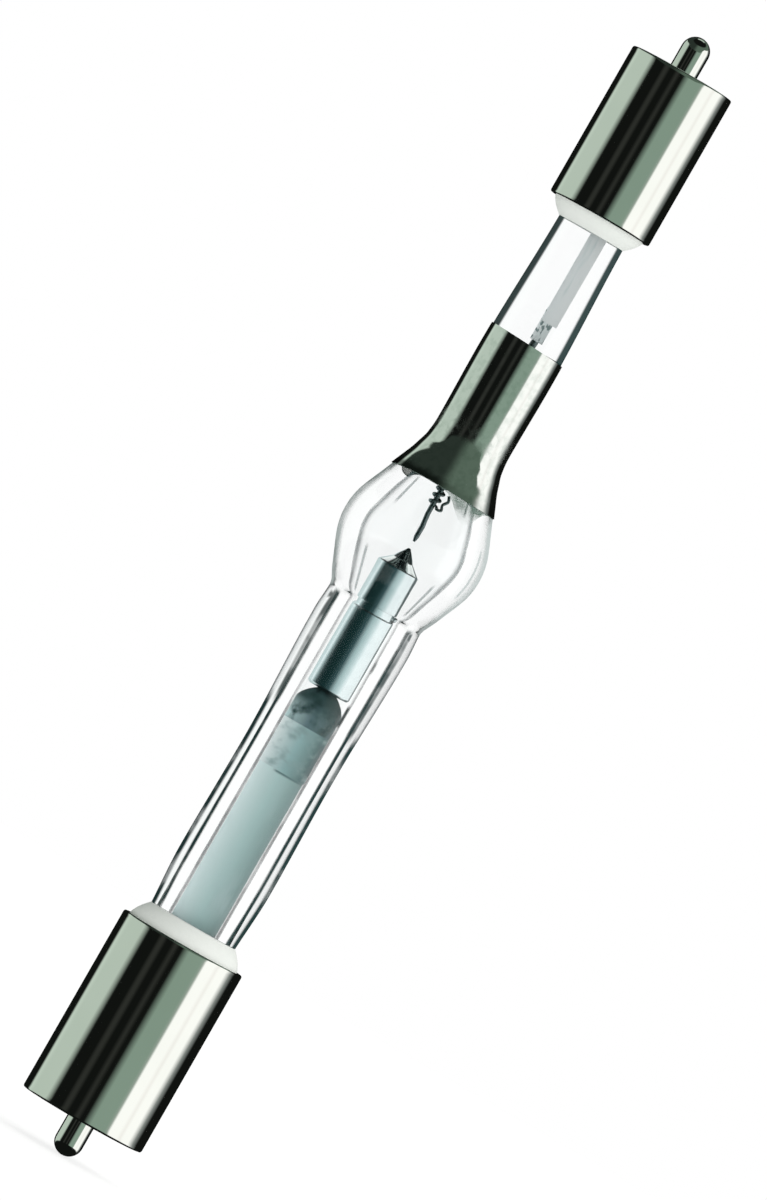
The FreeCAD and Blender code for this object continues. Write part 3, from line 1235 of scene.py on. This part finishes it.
@dataclass
class Envelope:
    """Quartz envelope, the coating on it and the glass rod in its lower shaft."""

    quartz: bpy.types.Material
    quartz_wall: bpy.types.Material
    reflector: bpy.types.Material
    stain: bpy.types.Material
    ring_pitch: float = 0.35 * MM
    skin_radius: float = 2.2 * MM
    cavity_radius: float = 0.5 * MM
    cavity_tip: float = 0.15 * MM
    rod_clearance: float = 0.03 * MM
    rod_ease: float = 0.3 * MM
    coating_thickness: float = 0.1 * MM
    coating_sink: float = 0.02 * MM
    turns: int = 192
    coat_rows: int = 48
    edge_slant: float = 0.3 * MM
    edge_wander: float = 0.04 * MM
    edge_waves: int = 3
    edge_wave_start: float = 1.0
    edge_dip: float = 0.13 * MM
    edge_dip_sharpness: int = 8
    stain_bearing: float = math.radians(-60.0)
    stain_spread: float = math.radians(16.0)
    stain_length: float = 1.4 * MM
    stain_thickness: float = 0.03 * MM

    def build(self) -> None:
        """Makes the envelope, the coating and the seal's glass rod."""
        node = bpy.data.objects["quartz_envelope"]
        skin = smooth_rings(wall_rings(node, Facing.OUTWARD, self.skin_radius), self.ring_pitch)
        cavity = self._cavity(node)
        outer = [(0.0, skin[0][1]), *skin, (0.0, skin[-1][1])]
        inner = [(0.0, cavity[0][1]), *cavity, (0.0, cavity[-1][1] + self.cavity_tip)]
        envelope = turned_object("quartz_body", [outer, inner[::-1]], self.turns)
        settle(envelope, self.quartz, "quartz", "quartz_envelope")
        envelope.data.materials.append(self.quartz_wall)
        self._coat(skin)
        self._seal_rod()

    def _seal_rod(self) -> None:
        """Turns the glass rod that the foil sleeve is wrapped on."""
        span = Span.of("anode_seal_rod")
        radius = span.radius - self.rod_clearance
        outline = [(0.0, span.bottom), (radius, span.bottom), (radius, span.top), (0.0, span.top)]
        rod = turned_object("seal_rod", [eased(outline, self.rod_ease)])
        settle(rod, self.quartz, "quartz", "anode_seal_rod")

    def _cavity(self, node: bpy.types.Object) -> Outline:
        """Rings of the room inside, from the bore's floor to where it closes on the rod.

        Args:
            node: the quartz envelope's CAD node.

        Returns:
            Radius and height of each ring, upwards.
        """
        rings = wall_rings(node, Facing.INWARD, self.cavity_radius)
        widest = max(rings)[1]
        kept = [ring for ring in rings if ring[1] <= widest]
        for ring in rings:
            if ring[1] > widest and ring[0] < kept[-1][0]:
                kept.append(ring)
            elif ring[1] > widest:
                break
        return smooth_rings(kept, self.ring_pitch)

    def _coat(self, skin: Outline) -> None:
        """Makes the metallic coating on the upper flare, and the stain that ran below its edge.

        Args:
            skin: radius and height of the quartz's rings, upwards.
        """
        span = Span.of("reflector_coating")
        low, high, stain_low = [], [], []
        for turn in range(self.turns):
            angle = self._angle(turn)
            waver = self.edge_wander * math.sin(self.edge_waves * angle + self.edge_wave_start)
            edge = span.bottom + waver - self.edge_dip * math.cos(angle) ** self.edge_dip_sharpness
            off = (angle - self.stain_bearing) / self.stain_spread
            low.append(edge)
            high.append(span.top - self.edge_slant * (1 + math.cos(angle)) / 2)
            stain_low.append(edge - self.edge_wander - self.stain_length * math.exp(-off * off))
        coat = self._wrap("mirror_coating", skin, low, high, self.coating_thickness)
        settle(coat, self.reflector, "reflector", "reflector_coating")
        stain_high = [edge + self.edge_wander for edge in low]
        stain = self._wrap("coating_stain", skin, stain_low, stain_high, self.stain_thickness)
        settle(stain, self.stain, "reflector")

    def _angle(self, turn: int) -> float:
        """Angle about the axis of one step round the coating, from the lamp's right over its front."""
        return math.remainder(-2 * math.pi * turn / self.turns, 2 * math.pi)

    def _wrap(
        self, name: str, skin: Outline, low: Sequence[float], high: Sequence[float], thickness: float
    ) -> bpy.types.Object:
        """Closed layer on the quartz.

        Args:
            name: the piece's name.
            skin: radius and height of the quartz's rings, upwards.
            low: height of the lower edge at each step round the lamp.
            high: height of the upper edge at each step.
            thickness: how far the layer stands off the quartz.

        Returns:
            The layer's object.
        """
        vertices = []
        for turn, (bottom, top) in enumerate(zip(low, high)):
            heights = [bottom + (top - bottom) * row / self.coat_rows for row in range(self.coat_rows + 1)]
            skin_rows = [(self._skin_at(skin, height), height) for height in heights]
            rows = [(radius + thickness, height) for radius, height in skin_rows]
            rows += [(radius - self.coating_sink, height) for radius, height in reversed(skin_rows)]
            across = (math.cos(self._angle(turn)), math.sin(self._angle(turn)))
            vertices += [(radius * across[0], radius * across[1], height) for radius, height in rows]
        ring = 2 * (self.coat_rows + 1)
        faces = []
        for turn in range(self.turns):
            near, far = turn * ring, (turn + 1) % self.turns * ring
            for row in range(ring):
                after = (row + 1) % ring
                faces.append([near + row, near + after, far + after, far + row])
        return mesh_object(name, vertices, faces)

    @staticmethod
    def _skin_at(skin: Outline, height: float) -> float:
        """The quartz's radius at a height.

        Args:
            skin: radius and height of the quartz's rings, upwards.
            height: a height between its ends.

        Returns:
            The radius, on a straight line between two rings.
        """
        for (start, low), (end, high) in zip(skin, skin[1:]):
            if low <= height <= high:
                return start + (end - start) * (height - low) / (high - low)
        return skin[-1][0]


@dataclass
class AnodeStack:
    """Pointed anode with the collar, band and foil sleeve under it."""

    tungsten: bpy.types.Material
    collar: bpy.types.Material
    band: bpy.types.Material
    foil: bpy.types.Material
    tip_radius: float = 0.08 * MM
    point_length: float = 0.86 * MM
    point_radius: float = 0.73 * MM
    shoulder_length: float = 0.52 * MM
    head_radius: float = 1.49 * MM
    head_length: float = 3.1 * MM
    neck_radius: float = 1.36 * MM
    neck_length: float = 0.6 * MM
    shank_chamfer: float = 0.15 * MM
    ease: float = 0.05 * MM
    flank_inset: float = 0.11 * MM
    crown_radius: float = 0.7 * MM
    dome_height: float = 1.2 * MM
    dome_bow: float = 1.7
    dome_steps: int = 8
    skirt_step: float = 0.1 * MM
    foil_thickness: float = 0.06 * MM
    foil_seam: float = 1.2 * MM
    sleeve_turns: int = 120

    def build(self) -> None:
        """Makes the anode and the seal under it."""
        self._anode()
        self._collar()
        self._sleeve("weld_band", "anode_weld_band", self.band, self.skirt_step, 0.0)
        self._sleeve("foil_sleeve", "anode_foil", self.foil, self.foil_thickness, self.foil_seam)

    def _anode(self) -> None:
        """Turns the anode from its tip down to the stem in the collar."""
        span = Span.of("anode")
        shoulder = span.top - self.point_length
        head = shoulder - self.shoulder_length
        head_foot = head - self.head_length
        shank = head_foot - self.neck_length
        shank_foot = Span.of("anode_collar").top
        outline = [
            (0.0, shank_foot - self.ease),
            (span.radius - self.shank_chamfer, shank_foot),
            (span.radius, shank_foot + self.shank_chamfer),
            *flank((span.radius, shank_foot + self.shank_chamfer), (span.radius, shank), self.flank_inset),
            (span.radius, shank),
            (self.neck_radius, shank),
            (self.neck_radius, head_foot),
            (self.head_radius, head_foot),
            *flank((self.head_radius, head_foot), (self.head_radius, head), self.flank_inset),
            (self.head_radius, head),
            *flank((self.head_radius, head), (self.point_radius, shoulder), self.flank_inset),
            (self.point_radius, shoulder),
            *flank((self.point_radius, shoulder), (self.tip_radius, span.top), self.flank_inset),
            (self.tip_radius, span.top),
            (0.0, span.top),
        ]
        anode = turned_object("pointed_anode", [eased(outline, self.ease)])
        settle(anode, self.tungsten, "tungsten", "anode")

    def _collar(self) -> None:
        """Makes the domed collar."""
        span = Span.of("anode_collar")
        band = Span.of("anode_weld_band")
        shoulder = span.top - self.dome_height
        outline = [(0.0, band.bottom), (span.radius - self.skirt_step, band.bottom)]
        outline += [(span.radius - self.skirt_step, band.top), (span.radius, band.top)]
        for step in range(self.dome_steps + 1):
            rise = step / self.dome_steps
            radius = self.crown_radius + (span.radius - self.crown_radius) * (1 - rise**self.dome_bow)
            outline.append((radius, shoulder + self.dome_height * rise))
        outline.append((0.0, span.top))
        settle(turned_object("domed_collar", [outline]), self.collar, "molybdenum", "anode_collar")

    def _sleeve(
        self, name: str, node: str, material: bpy.types.Material, thickness: float, seam: float
    ) -> None:
        """Makes a thin sleeve, open along a seam at the back where one is given.

        Args:
            name: the piece's name.
            node: the CAD node that it replaces.
            material: its finish.
            thickness: how thick the sleeve is.
            seam: width of the gap at the back, or 0 for a closed sleeve.
        """
        span = Span.of(node)
        half_gap = seam / 2 / span.radius
        turns = self.sleeve_turns
        section = [
            (span.radius - thickness, span.bottom),
            (span.radius, span.bottom),
            (span.radius, span.top),
            (span.radius - thickness, span.top),
        ]
        if seam == 0.0:
            settle(turned_object(name, [section]), material, "molybdenum", node)
            return
        vertices = []
        for turn in range(turns + 1):
            angle = math.pi / 2 + half_gap + (2 * math.pi - 2 * half_gap) * turn / turns
            across = (math.cos(angle), math.sin(angle))
            vertices += [(radius * across[0], radius * across[1], height) for radius, height in section]
        corners = len(section)
        faces = [[3, 2, 1, 0], [corners * turns + corner for corner in range(corners)]]
        for turn in range(turns):
            near, far = corners * turn, corners * (turn + 1)
            for corner in range(corners):
                after = (corner + 1) % corners
                faces.append([near + corner, near + after, far + after, far + corner])
        settle(mesh_object(name, vertices, faces), material, "molybdenum", node)


@dataclass
class CathodeStack:
    """Thin rod with its wire coil, flattened end and seal foil."""

    wire: bpy.types.Material
    paddle: bpy.types.Material
    foil: bpy.types.Material
    rod_radius: float = 0.18 * MM
    tip_radius: float = 0.08 * MM
    tip_length: float = 0.35 * MM
    rod_lean: float = -0.12 * MM
    seal_lean: float = 0.25 * MM
    bend_start: float = 1.8 * MM
    bend_length: float = 0.7 * MM
    seal_start: float = 7.9 * MM
    paddle_length: float = 2.4 * MM
    paddle_width: float = 1.4 * MM
    paddle_thickness: float = 0.16 * MM
    bearing: float = math.radians(-107.0)
    coil_above_tip: float = 2.4 * MM
    coil_radius: float = 0.32 * MM
    coil_wire_radius: float = 0.1 * MM
    coil_pitch: float = 0.5 * MM
    coil_turns: int = 3
    coil_steps: int = 32
    tail: tuple[tuple[float, float, float], ...] = (
        (0.66, 0.0, 1.1),
        (0.8, -0.05, 0.72),
        (0.58, -0.15, 0.36),
        (0.66, -0.26, 0.02),
        (0.5, -0.33, -0.08),
        (0.32, -0.32, -0.06),
    )
    foil_width: float = 2.2 * MM
    foil_thickness: float = 0.06 * MM
    foil_feather: float = 0.5 * MM

    def build(self) -> None:
        """Makes the rod, its paddle, the coil and the foil."""
        span = Span.of("cathode")
        paddle_foot = span.top - self.paddle_length
        self._rod(span.bottom, paddle_foot)
        half = self.paddle_thickness / 2
        paddle = self._slab("cathode_paddle", self.paddle_width, (-half, half), (paddle_foot, span.top), 0.0)
        settle(paddle, self.paddle, "tungsten", "cathode")
        self._coil(span.bottom + self.coil_above_tip)
        ends = Span.of("cathode_foil")
        faces = (half, half + self.foil_thickness)
        foil = self._slab("seal_foil", self.foil_width, faces, (ends.bottom, ends.top), self.foil_feather)
        settle(foil, self.foil, "molybdenum", "cathode_foil")

    def _rod(self, tip: float, paddle_foot: float) -> None:
        """Makes the slightly bent rod with its tapered tip.

        Args:
            tip: height of its lower end.
            paddle_foot: height at which it is flattened.
        """
        route = [
            Vector((0, 0, tip)),
            Vector((0, 0, tip + self.tip_length)),
            Vector((0, 0, tip + self.bend_start - self.bend_length)),
            Vector((self.rod_lean, 0, tip + self.bend_start)),
            Vector((self.rod_lean, 0, tip + self.seal_start)),
            Vector((self.seal_lean, 0, paddle_foot)),
        ]
        taper = [self.tip_radius / self.rod_radius, *[1.0] * (len(route) - 1)]
        rod = wire_object("cathode_rod", route, self.rod_radius, taper)
        settle(rod, self.wire, "tungsten", "cathode")

    def _slab(
        self, name: str, width: float, depth: Range, heights: Range, feather: float
    ) -> bpy.types.Object:
        """Flat bar in the seal, turned to the foil's bearing.

        Args:
            name: the piece's name.
            width: distance between its edges.
            depth: its inner and outer face.
            heights: its two ends.
            feather: how far the outer face stays back from each edge.

        Returns:
            The bar's object.
        """
        reach = width / 2
        section = [
            (-reach, depth[0]),
            (reach, depth[0]),
            (reach - feather, depth[1]),
            (feather - reach, depth[1]),
        ]
        turn = Matrix.Rotation(self.bearing, 4, "Z")
        shift = Vector((self.seal_lean, 0, 0))
        vertices = [tuple(turn @ Vector((x, y, z)) + shift) for z in heights for x, y in section]
        faces = [[3, 2, 1, 0], [4, 5, 6, 7]]
        faces += [[corner, (corner + 1) % 4, 4 + (corner + 1) % 4, 4 + corner] for corner in range(4)]
        return mesh_object(name, vertices, faces)

    def _coil(self, bottom: float) -> None:
        """Winds the coil, from the end of its loose tail upwards.

        Args:
            bottom: height of its lowest turn.
        """
        route = curved([Vector(spot) * MM for spot in self.tail])
        for step in range(self.coil_turns * self.coil_steps + 1):
            turns = step / self.coil_steps
            angle = 2 * math.pi * turns
            spot = Vector((math.cos(angle), math.sin(angle), 0.0)) * self.coil_radius
            spot.z = self.coil_pitch * turns
            route.append(spot)
        shift = Vector((self.rod_lean, 0, bottom))
        coil = wire_object("wound_coil", [spot + shift for spot in route], self.coil_wire_radius)
        settle(coil, self.wire, "tungsten", "cathode_coil")


@dataclass
class MercuryBead:
    """Drop of mercury at the root of the bulb."""

    material: bpy.types.Material
    rows: int = 20
    turns: int = 40
    sag: float = 0.12

    def build(self) -> None:
        """Makes the drop where the CAD has it, fuller below than above."""
        low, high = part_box("mercury_bead")
        middle = (low + high) / 2
        half = (high - low) / 2
        vertices, faces = [], []
        for row in range(self.rows + 1):
            polar = math.pi * row / self.rows
            rise = -math.cos(polar)
            out = math.sin(polar) * (1 - self.sag * (1 + rise) / 2)
            for turn in range(self.turns):
                angle = 2 * math.pi * turn / self.turns
                spot = (out * math.cos(angle) * half.x, out * math.sin(angle) * half.y, rise * half.z)
                vertices.append(tuple(middle + Vector(spot)))
        for row in range(self.rows):
            for turn in range(self.turns):
                after = (turn + 1) % self.turns
                near, far = row * self.turns, (row + 1) * self.turns
                faces.append([near + turn, near + after, far + after, far + turn])
        settle(mesh_object("mercury_drop", vertices, faces), self.material, "mercury", "mercury_bead")


# Studio


# Outputs of the light path that tell which piece sent a ray
RAY_KINDS = ("Is Camera Ray", "Is Glossy Ray", "Is Reflection Ray", "Is Transmission Ray")
RAY_DEPTHS = ("Glossy Depth", "Transmission Depth", "Diffuse Depth")


@dataclass(frozen=True)
class Ray:
    """Where a ray that left the lamp goes: its direction, and its bearing as a share of a turn."""

    side: Sock
    away: Sock
    up: Sock
    turn: Sock


@dataclass
class Studio:
    """Pale floor, the softboxes as the lamp's metal sees them, and the camera."""

    floor_half: float = 0.6
    floor_colour: Colour = (0.8, 0.8, 0.8)
    floor_colour_shown: Colour = (0.3, 0.3, 0.3)
    floor_glow: Colour = (0.35, 0.35, 0.35)
    floor_glow_shown: Colour = (0.8, 0.8, 0.8)
    key_watts: float = 0.35
    key_size: float = 0.35
    key_place: tuple[float, float, float] = (0.35, -0.25, 0.5)
    distance: float = 0.9
    pixels_per_mm: float = 15.1
    frame_height: float = 1200.0
    sensor: float = 36.0
    sight: Range = (0.01, 10.0)
    lean: float = math.radians(29.87)
    aim_side: float = 0.19 * MM
    aim_height: float = 39.77 * MM

    # Colours of the panels, of the ceiling and of the light that glass and dull metal get
    black: Colour = (0.006, 0.007, 0.006)
    left_panel: Colour = (0.5, 0.59, 0.51)
    left_glow: Colour = (0.57, 0.67, 0.58)
    middle_panel: Colour = (0.24, 0.33, 0.265)
    middle_glow: Colour = (0.32, 0.38, 0.33)
    white_panel: Colour = (1.1, 1.1, 1.07)
    warm_panel: Colour = (1.0, 0.98, 0.95)
    dusk: Colour = (0.25, 0.27, 0.26)
    shade_left: Colour = (0.12, 0.15, 0.13)
    light_right: Colour = (1.06, 1.06, 1.04)
    clear: Colour = (1.03, 1.03, 1.03)
    inner_left: Colour = (1.5, 1.5, 1.5)
    inner_right: Colour = (0.72, 0.75, 0.75)
    seam: Colour = (0.028, 0.03, 0.026)
    ceiling_left: Colour = (0.024, 0.034, 0.027)
    ceiling_right: Colour = (0.1, 0.145, 0.11)

    # More passes through glass than this lead from an electrode
    bounces_in_glass: float = 3.5

    # Where a panel begins and where it is full, on the parts of a direction of length 1
    wall_rise: Range = (-0.3, -0.2)
    wall_sides: Range = (0.55, 0.75)
    shade_reach: Range = (-1.0, 0.3)
    panel_lean: float = 0.2
    brim_softness: float = 0.04
    ceiling_split: Range = (0.43, 0.53)
    ceiling_end: Range = (0.74, 0.84)
    top_panel_rise: Range = (0.78, 0.84)
    top_panel_away: Range = (0.3, 0.4)
    top_panel_sides: Range = (0.2, 0.3)
    ground_dark: Range = (-0.35, -0.45)
    electrode_brim: Range = (0.3, 0.4)
    skylight_skew: float = 0.2
    skylight_away: Range = (0.47, 0.56)
    skylight_sides: Range = (0.36, 0.44)
    skylight_end: Range = (0.8, 0.87)
    spot_rise: Range = (0.9, 0.94)
    spot_away: Range = (-0.24, -0.1)

    def build(self) -> None:
        """Makes the floor, the world and the camera."""
        self._floor()
        self._world()
        self._key_light()
        self._camera()

    def _floor(self) -> None:
        """Pale floor that keeps the lamp's shadow and looks white to the camera."""
        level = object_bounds()[0].z
        half = self.floor_half
        corners = [(-half, -half, level), (half, -half, level), (half, half, level), (-half, half, level)]
        floor = mesh_object("floor", corners, [[0, 1, 2, 3]])
        material, tree = new_tree("pale_floor")
        shown = tree.node("ShaderNodeLightPath", output="Is Camera Ray")
        tree.surface(
            {
                "Base Color": tree.mix(shown, self.floor_colour, self.floor_colour_shown),
                "Roughness": 1.0,
                "Emission Color": tree.mix(shown, self.floor_glow, self.floor_glow_shown),
                "Emission Strength": 1.0,
            }
        )
        floor.data.materials.append(material)
        floor.visible_glossy = False
        floor.visible_transmission = False
        floor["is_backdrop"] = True
        log.info("floor at %.4f m", level)

    def _world(self) -> None:
        """White surroundings, and panels round the lamp that only metal and gloss show."""
        world = bpy.data.worlds.new("studio")
        bpy.context.scene.world = world
        world.use_nodes = True
        world.cycles.sampling_method = "NONE"
        tree = Tree(world.node_tree)
        side, away, up = tree.parts(tree.node("ShaderNodeTexCoord", output="Generated"))
        bearing = tree.node("ShaderNodeMath", {"operation": "ARCTAN2"}, {0: side, 1: 0 - away})
        ray = Ray(side, away, up, bearing / (2 * math.pi) + 0.5)
        path = {name: tree.node("ShaderNodeLightPath", output=name) for name in (*RAY_KINDS, *RAY_DEPTHS)}
        mirrored = path["Is Glossy Ray"] * path["Is Reflection Ray"]
        through = path["Is Transmission Ray"]
        polished = path["Glossy Depth"] > 0.5
        scattered = path["Diffuse Depth"] > 0.5
        deep = path["Transmission Depth"] > self.bounces_in_glass
        caged = through * polished * deep.larger(self._leaves_from_wall(tree, ray))
        light = tree.mix(tree.step(side, *self.shade_reach), self.shade_left, self.light_right)
        inner = tree.mix(side * 0.5 + 0.5, self.inner_left, self.inner_right)
        colour = tree.mix(through, light, tree.mix(scattered, self.clear, inner))
        colour = tree.mix(path["Is Camera Ray"], colour, WHITE)
        colour = tree.mix(mirrored, colour, self._seen_by_plating(tree, ray))
        colour = tree.mix(caged, colour, self._seen_by_electrodes(tree, ray))
        shader = tree.node("ShaderNodeBackground", None, {0: colour, 1: 1.0})
        tree.node("ShaderNodeOutputWorld", None, {0: shader})

    def _leaves_from_wall(self, tree: Tree, ray: Ray) -> Sock:
        """1 for rays towards the viewer that aren't steep, as the electrodes' upright walls send them."""
        aside = tree.step(abs(ray.side), *self.wall_sides)
        return ((0 - ray.away) > 0.0) * tree.step(ray.up, *self.wall_rise).larger(1 - aside)

    def _seen_by_plating(self, tree: Tree, ray: Ray) -> Sock:
        """Panels round the lamp under a dark ceiling, as the plated pieces show them.

        Args:
            tree: the world's tree.
            ray: the ray that a plated piece reflects.

        Returns:
            The colour that the ray meets.
        """
        panels = [
            (-131, self.black),
            (-124, self.left_glow),
            (-112, self.left_panel),
            (-76, self.left_panel),
            (-63, self.black),
            (-42, self.black),
            (-36, self.seam),
            (-32, self.seam),
            (-26, self.black),
            (-16, self.black),
            (-9, self.seam),
            (-2, self.black),
            (4, self.black),
            (17, self.middle_panel),
            (43, self.middle_panel),
            (48, self.middle_glow),
            (52, self.white_panel),
            (69, self.white_panel),
            (76, self.warm_panel),
            (82, self.white_panel),
            (98, self.white_panel),
            (111, self.dusk),
            (123, self.black),
        ]
        brims = [
            (-129, 0.36),
            (-96, 0.385),
            (-81, 0.37),
            (-70, 0.29),
            (-58, 0.18),
            (-40, 0.14),
            (0, 0.12),
            (30, 0.13),
            (43, 0.2),
            (55, 0.42),
            (61, 0.48),
            (75, 0.575),
            (93, 0.545),
            (120, 0.5),
        ]
        leaned = (ray.turn - 0.5) * (1 - abs(ray.up) * self.panel_lean) + 0.5
        around = tree.ramp(leaned, self._stops(panels))
        brim = tree.ramp(ray.turn, self._stops([(bearing, (height,) * 3) for bearing, height in brims]))
        ceiling = tree.mix(tree.step(ray.turn, *self.ceiling_split), self.ceiling_left, self.ceiling_right)
        ceiling = tree.mix(tree.step(ray.up, *self.ceiling_end), ceiling, self.black)
        top_panel = tree.step(ray.up, *self.top_panel_rise) * tree.step(ray.away, *self.top_panel_away)
        top_panel = top_panel * (1 - tree.step(abs(ray.side), *self.top_panel_sides))
        ceiling = tree.mix(top_panel, ceiling, self.left_panel)
        shown = tree.mix(tree.step(ray.up - brim, 0.0, self.brim_softness), around, ceiling)
        return tree.mix(tree.step(ray.up, *self.ground_dark), shown, self.black)

    def _seen_by_electrodes(self, tree: Tree, ray: Ray) -> Sock:
        """Softer panels, as the polished metal inside the glass shows them.

        Args:
            tree: the world's tree.
            ray: the ray that a polished piece reflects out of the glass.

        Returns:
            The colour that the ray meets.
        """
        panels = [
            (-180, (0.6, 0.7, 0.7)),
            (-116, (0.75, 0.87, 0.87)),
            (-108, (0.8, 0.92, 0.92)),
            (-100, (1.05, 1.1, 1.1)),
            (-92, (0.72, 0.84, 0.84)),
            (-84, (0.3, 0.38, 0.38)),
            (-68, (0.008, 0.022, 0.022)),
            (-25, (0.012, 0.035, 0.035)),
            (-2, (0.05, 0.095, 0.1)),
            (18, (0.42, 0.55, 0.55)),
            (38, (0.65, 0.78, 0.78)),
            (56, (1.08, 1.12, 1.12)),
            (115, (1.08, 1.12, 1.12)),
            (124, (0.12, 0.15, 0.15)),
            (150, (0.12, 0.15, 0.15)),
        ]
        around = tree.ramp(ray.turn, self._stops(panels))
        skylight = tree.step(ray.away + ray.side * self.skylight_skew, *self.skylight_away)
        skylight = skylight * (1 - tree.step(abs(ray.side), *self.skylight_sides))
        skylight = skylight * (1 - tree.step(ray.up, *self.skylight_end))
        ceiling = tree.mix(skylight, self.black, self.white_panel)
        spot = tree.step(ray.up, *self.spot_rise) * (1 - tree.step(ray.away, *self.spot_away))
        ceiling = tree.mix(spot, ceiling, self.dusk)
        return tree.mix(tree.step(ray.up, *self.electrode_brim), around, ceiling)

    @staticmethod
    def _stops(panels: Sequence[tuple[float, Colour]]) -> list[tuple[float, Colour]]:
        """Ramp stops of bearings in degrees, from straight behind over the left and the front."""
        return [(bearing / 360 + 0.5, colour) for bearing, colour in panels]

    def _key_light(self) -> None:
        """Soft lamp above and to the right, which shapes the cement and gives the floor its shadow."""
        light = bpy.data.lights.new("key", "AREA")
        light.energy = self.key_watts
        light.size = self.key_size
        key = bpy.data.objects.new("key", light)
        bpy.context.scene.collection.objects.link(key)
        key.location = self.key_place
        key.rotation_mode = "QUATERNION"
        key.rotation_quaternion = (-Vector(self.key_place)).to_track_quat("-Z", "Y")
        key.visible_glossy = False
        key.visible_transmission = False

    def _camera(self) -> None:
        """Long lens at the lamp's height, rolled so that the lamp leans as in the photograph."""
        shown = self.frame_height / self.pixels_per_mm * MM
        data = bpy.data.cameras.new("camera")
        data.sensor_width = self.sensor
        data.lens = self.sensor * self.distance / shown
        data.clip_start, data.clip_end = self.sight
        camera = bpy.data.objects.new("camera", data)
        bpy.context.scene.collection.objects.link(camera)
        camera.location = (self.aim_side, -self.distance, self.aim_height)
        camera.rotation_mode = "QUATERNION"
        level = Matrix.Rotation(math.pi / 2, 4, "X")
        roll = Matrix.Rotation(self.lean, 4, "Z")
        camera.rotation_quaternion = (level @ roll).to_quaternion()
        bpy.context.scene.camera = camera


def dress_hidden(finishes: Mapping[str, bpy.types.Material]) -> None:
    """Gives the pieces that stay as the CAD has them their finish.

    Args:
        finishes: the materials by their short names.
    """
    nodes = {
        "anode_lead": "foil",
        "cathode_lead": "foil",
        "anode_solder": "solder",
        "cathode_solder": "solder",
    }
    for node, finish in nodes.items():
        for slot in bpy.data.objects[node].material_slots:
            slot.material = finishes[finish]
        log.info("%s keeps its solid", node)


def main() -> None:
    """Builds the lamp and its studio."""
    logging.basicConfig(level=logging.INFO, format="%(name)s %(message)s")
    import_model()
    bpy.context.scene.view_settings.view_transform = "Standard"
    coating_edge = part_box("reflector_coating")[0].z
    finishes = {
        "nickel": PlatedNickel("plated_nickel").material(),
        "quartz": QUARTZ_SKIN.material(),
        "wall": QUARTZ_WALL.material(),
        "cement": BaseCement("base_cement").material(),
        "mercury": LiquidMercury("liquid_mercury").material(),
        "tungsten": GROUND_TUNGSTEN.material(),
        "wire": TUNGSTEN_WIRE.material(),
        "paddle": HAMMERED_TUNGSTEN.material(),
        "collar": MOLYBDENUM_COLLAR.material(),
        "band": MOLYBDENUM_BAND.material(),
        "foil": MOLYBDENUM_FOIL.material(),
        "strip": MOLYBDENUM_STRIP.material(),
        "solder": SOFT_SOLDER.material(),
        "reflector": MirrorCoating("heat_reflector", coating_edge).material(),
        "stain": CoatingStain("coating_stain", coating_edge).material(),
    }
    assemblies = [
        Studio(),
        Base(LampEnd.ANODE, finishes["nickel"], finishes["cement"]),
        Base(LampEnd.CATHODE, finishes["nickel"], finishes["cement"]),
        Envelope(finishes["quartz"], finishes["wall"], finishes["reflector"], finishes["stain"]),
        AnodeStack(finishes["tungsten"], finishes["collar"], finishes["band"], finishes["foil"]),
        CathodeStack(finishes["wire"], finishes["paddle"], finishes["strip"]),
        MercuryBead(finishes["mercury"]),
    ]
    for assembly in assemblies:
        assembly.build()
    dress_hidden(finishes)


if __name__ == "__main__":
    main()
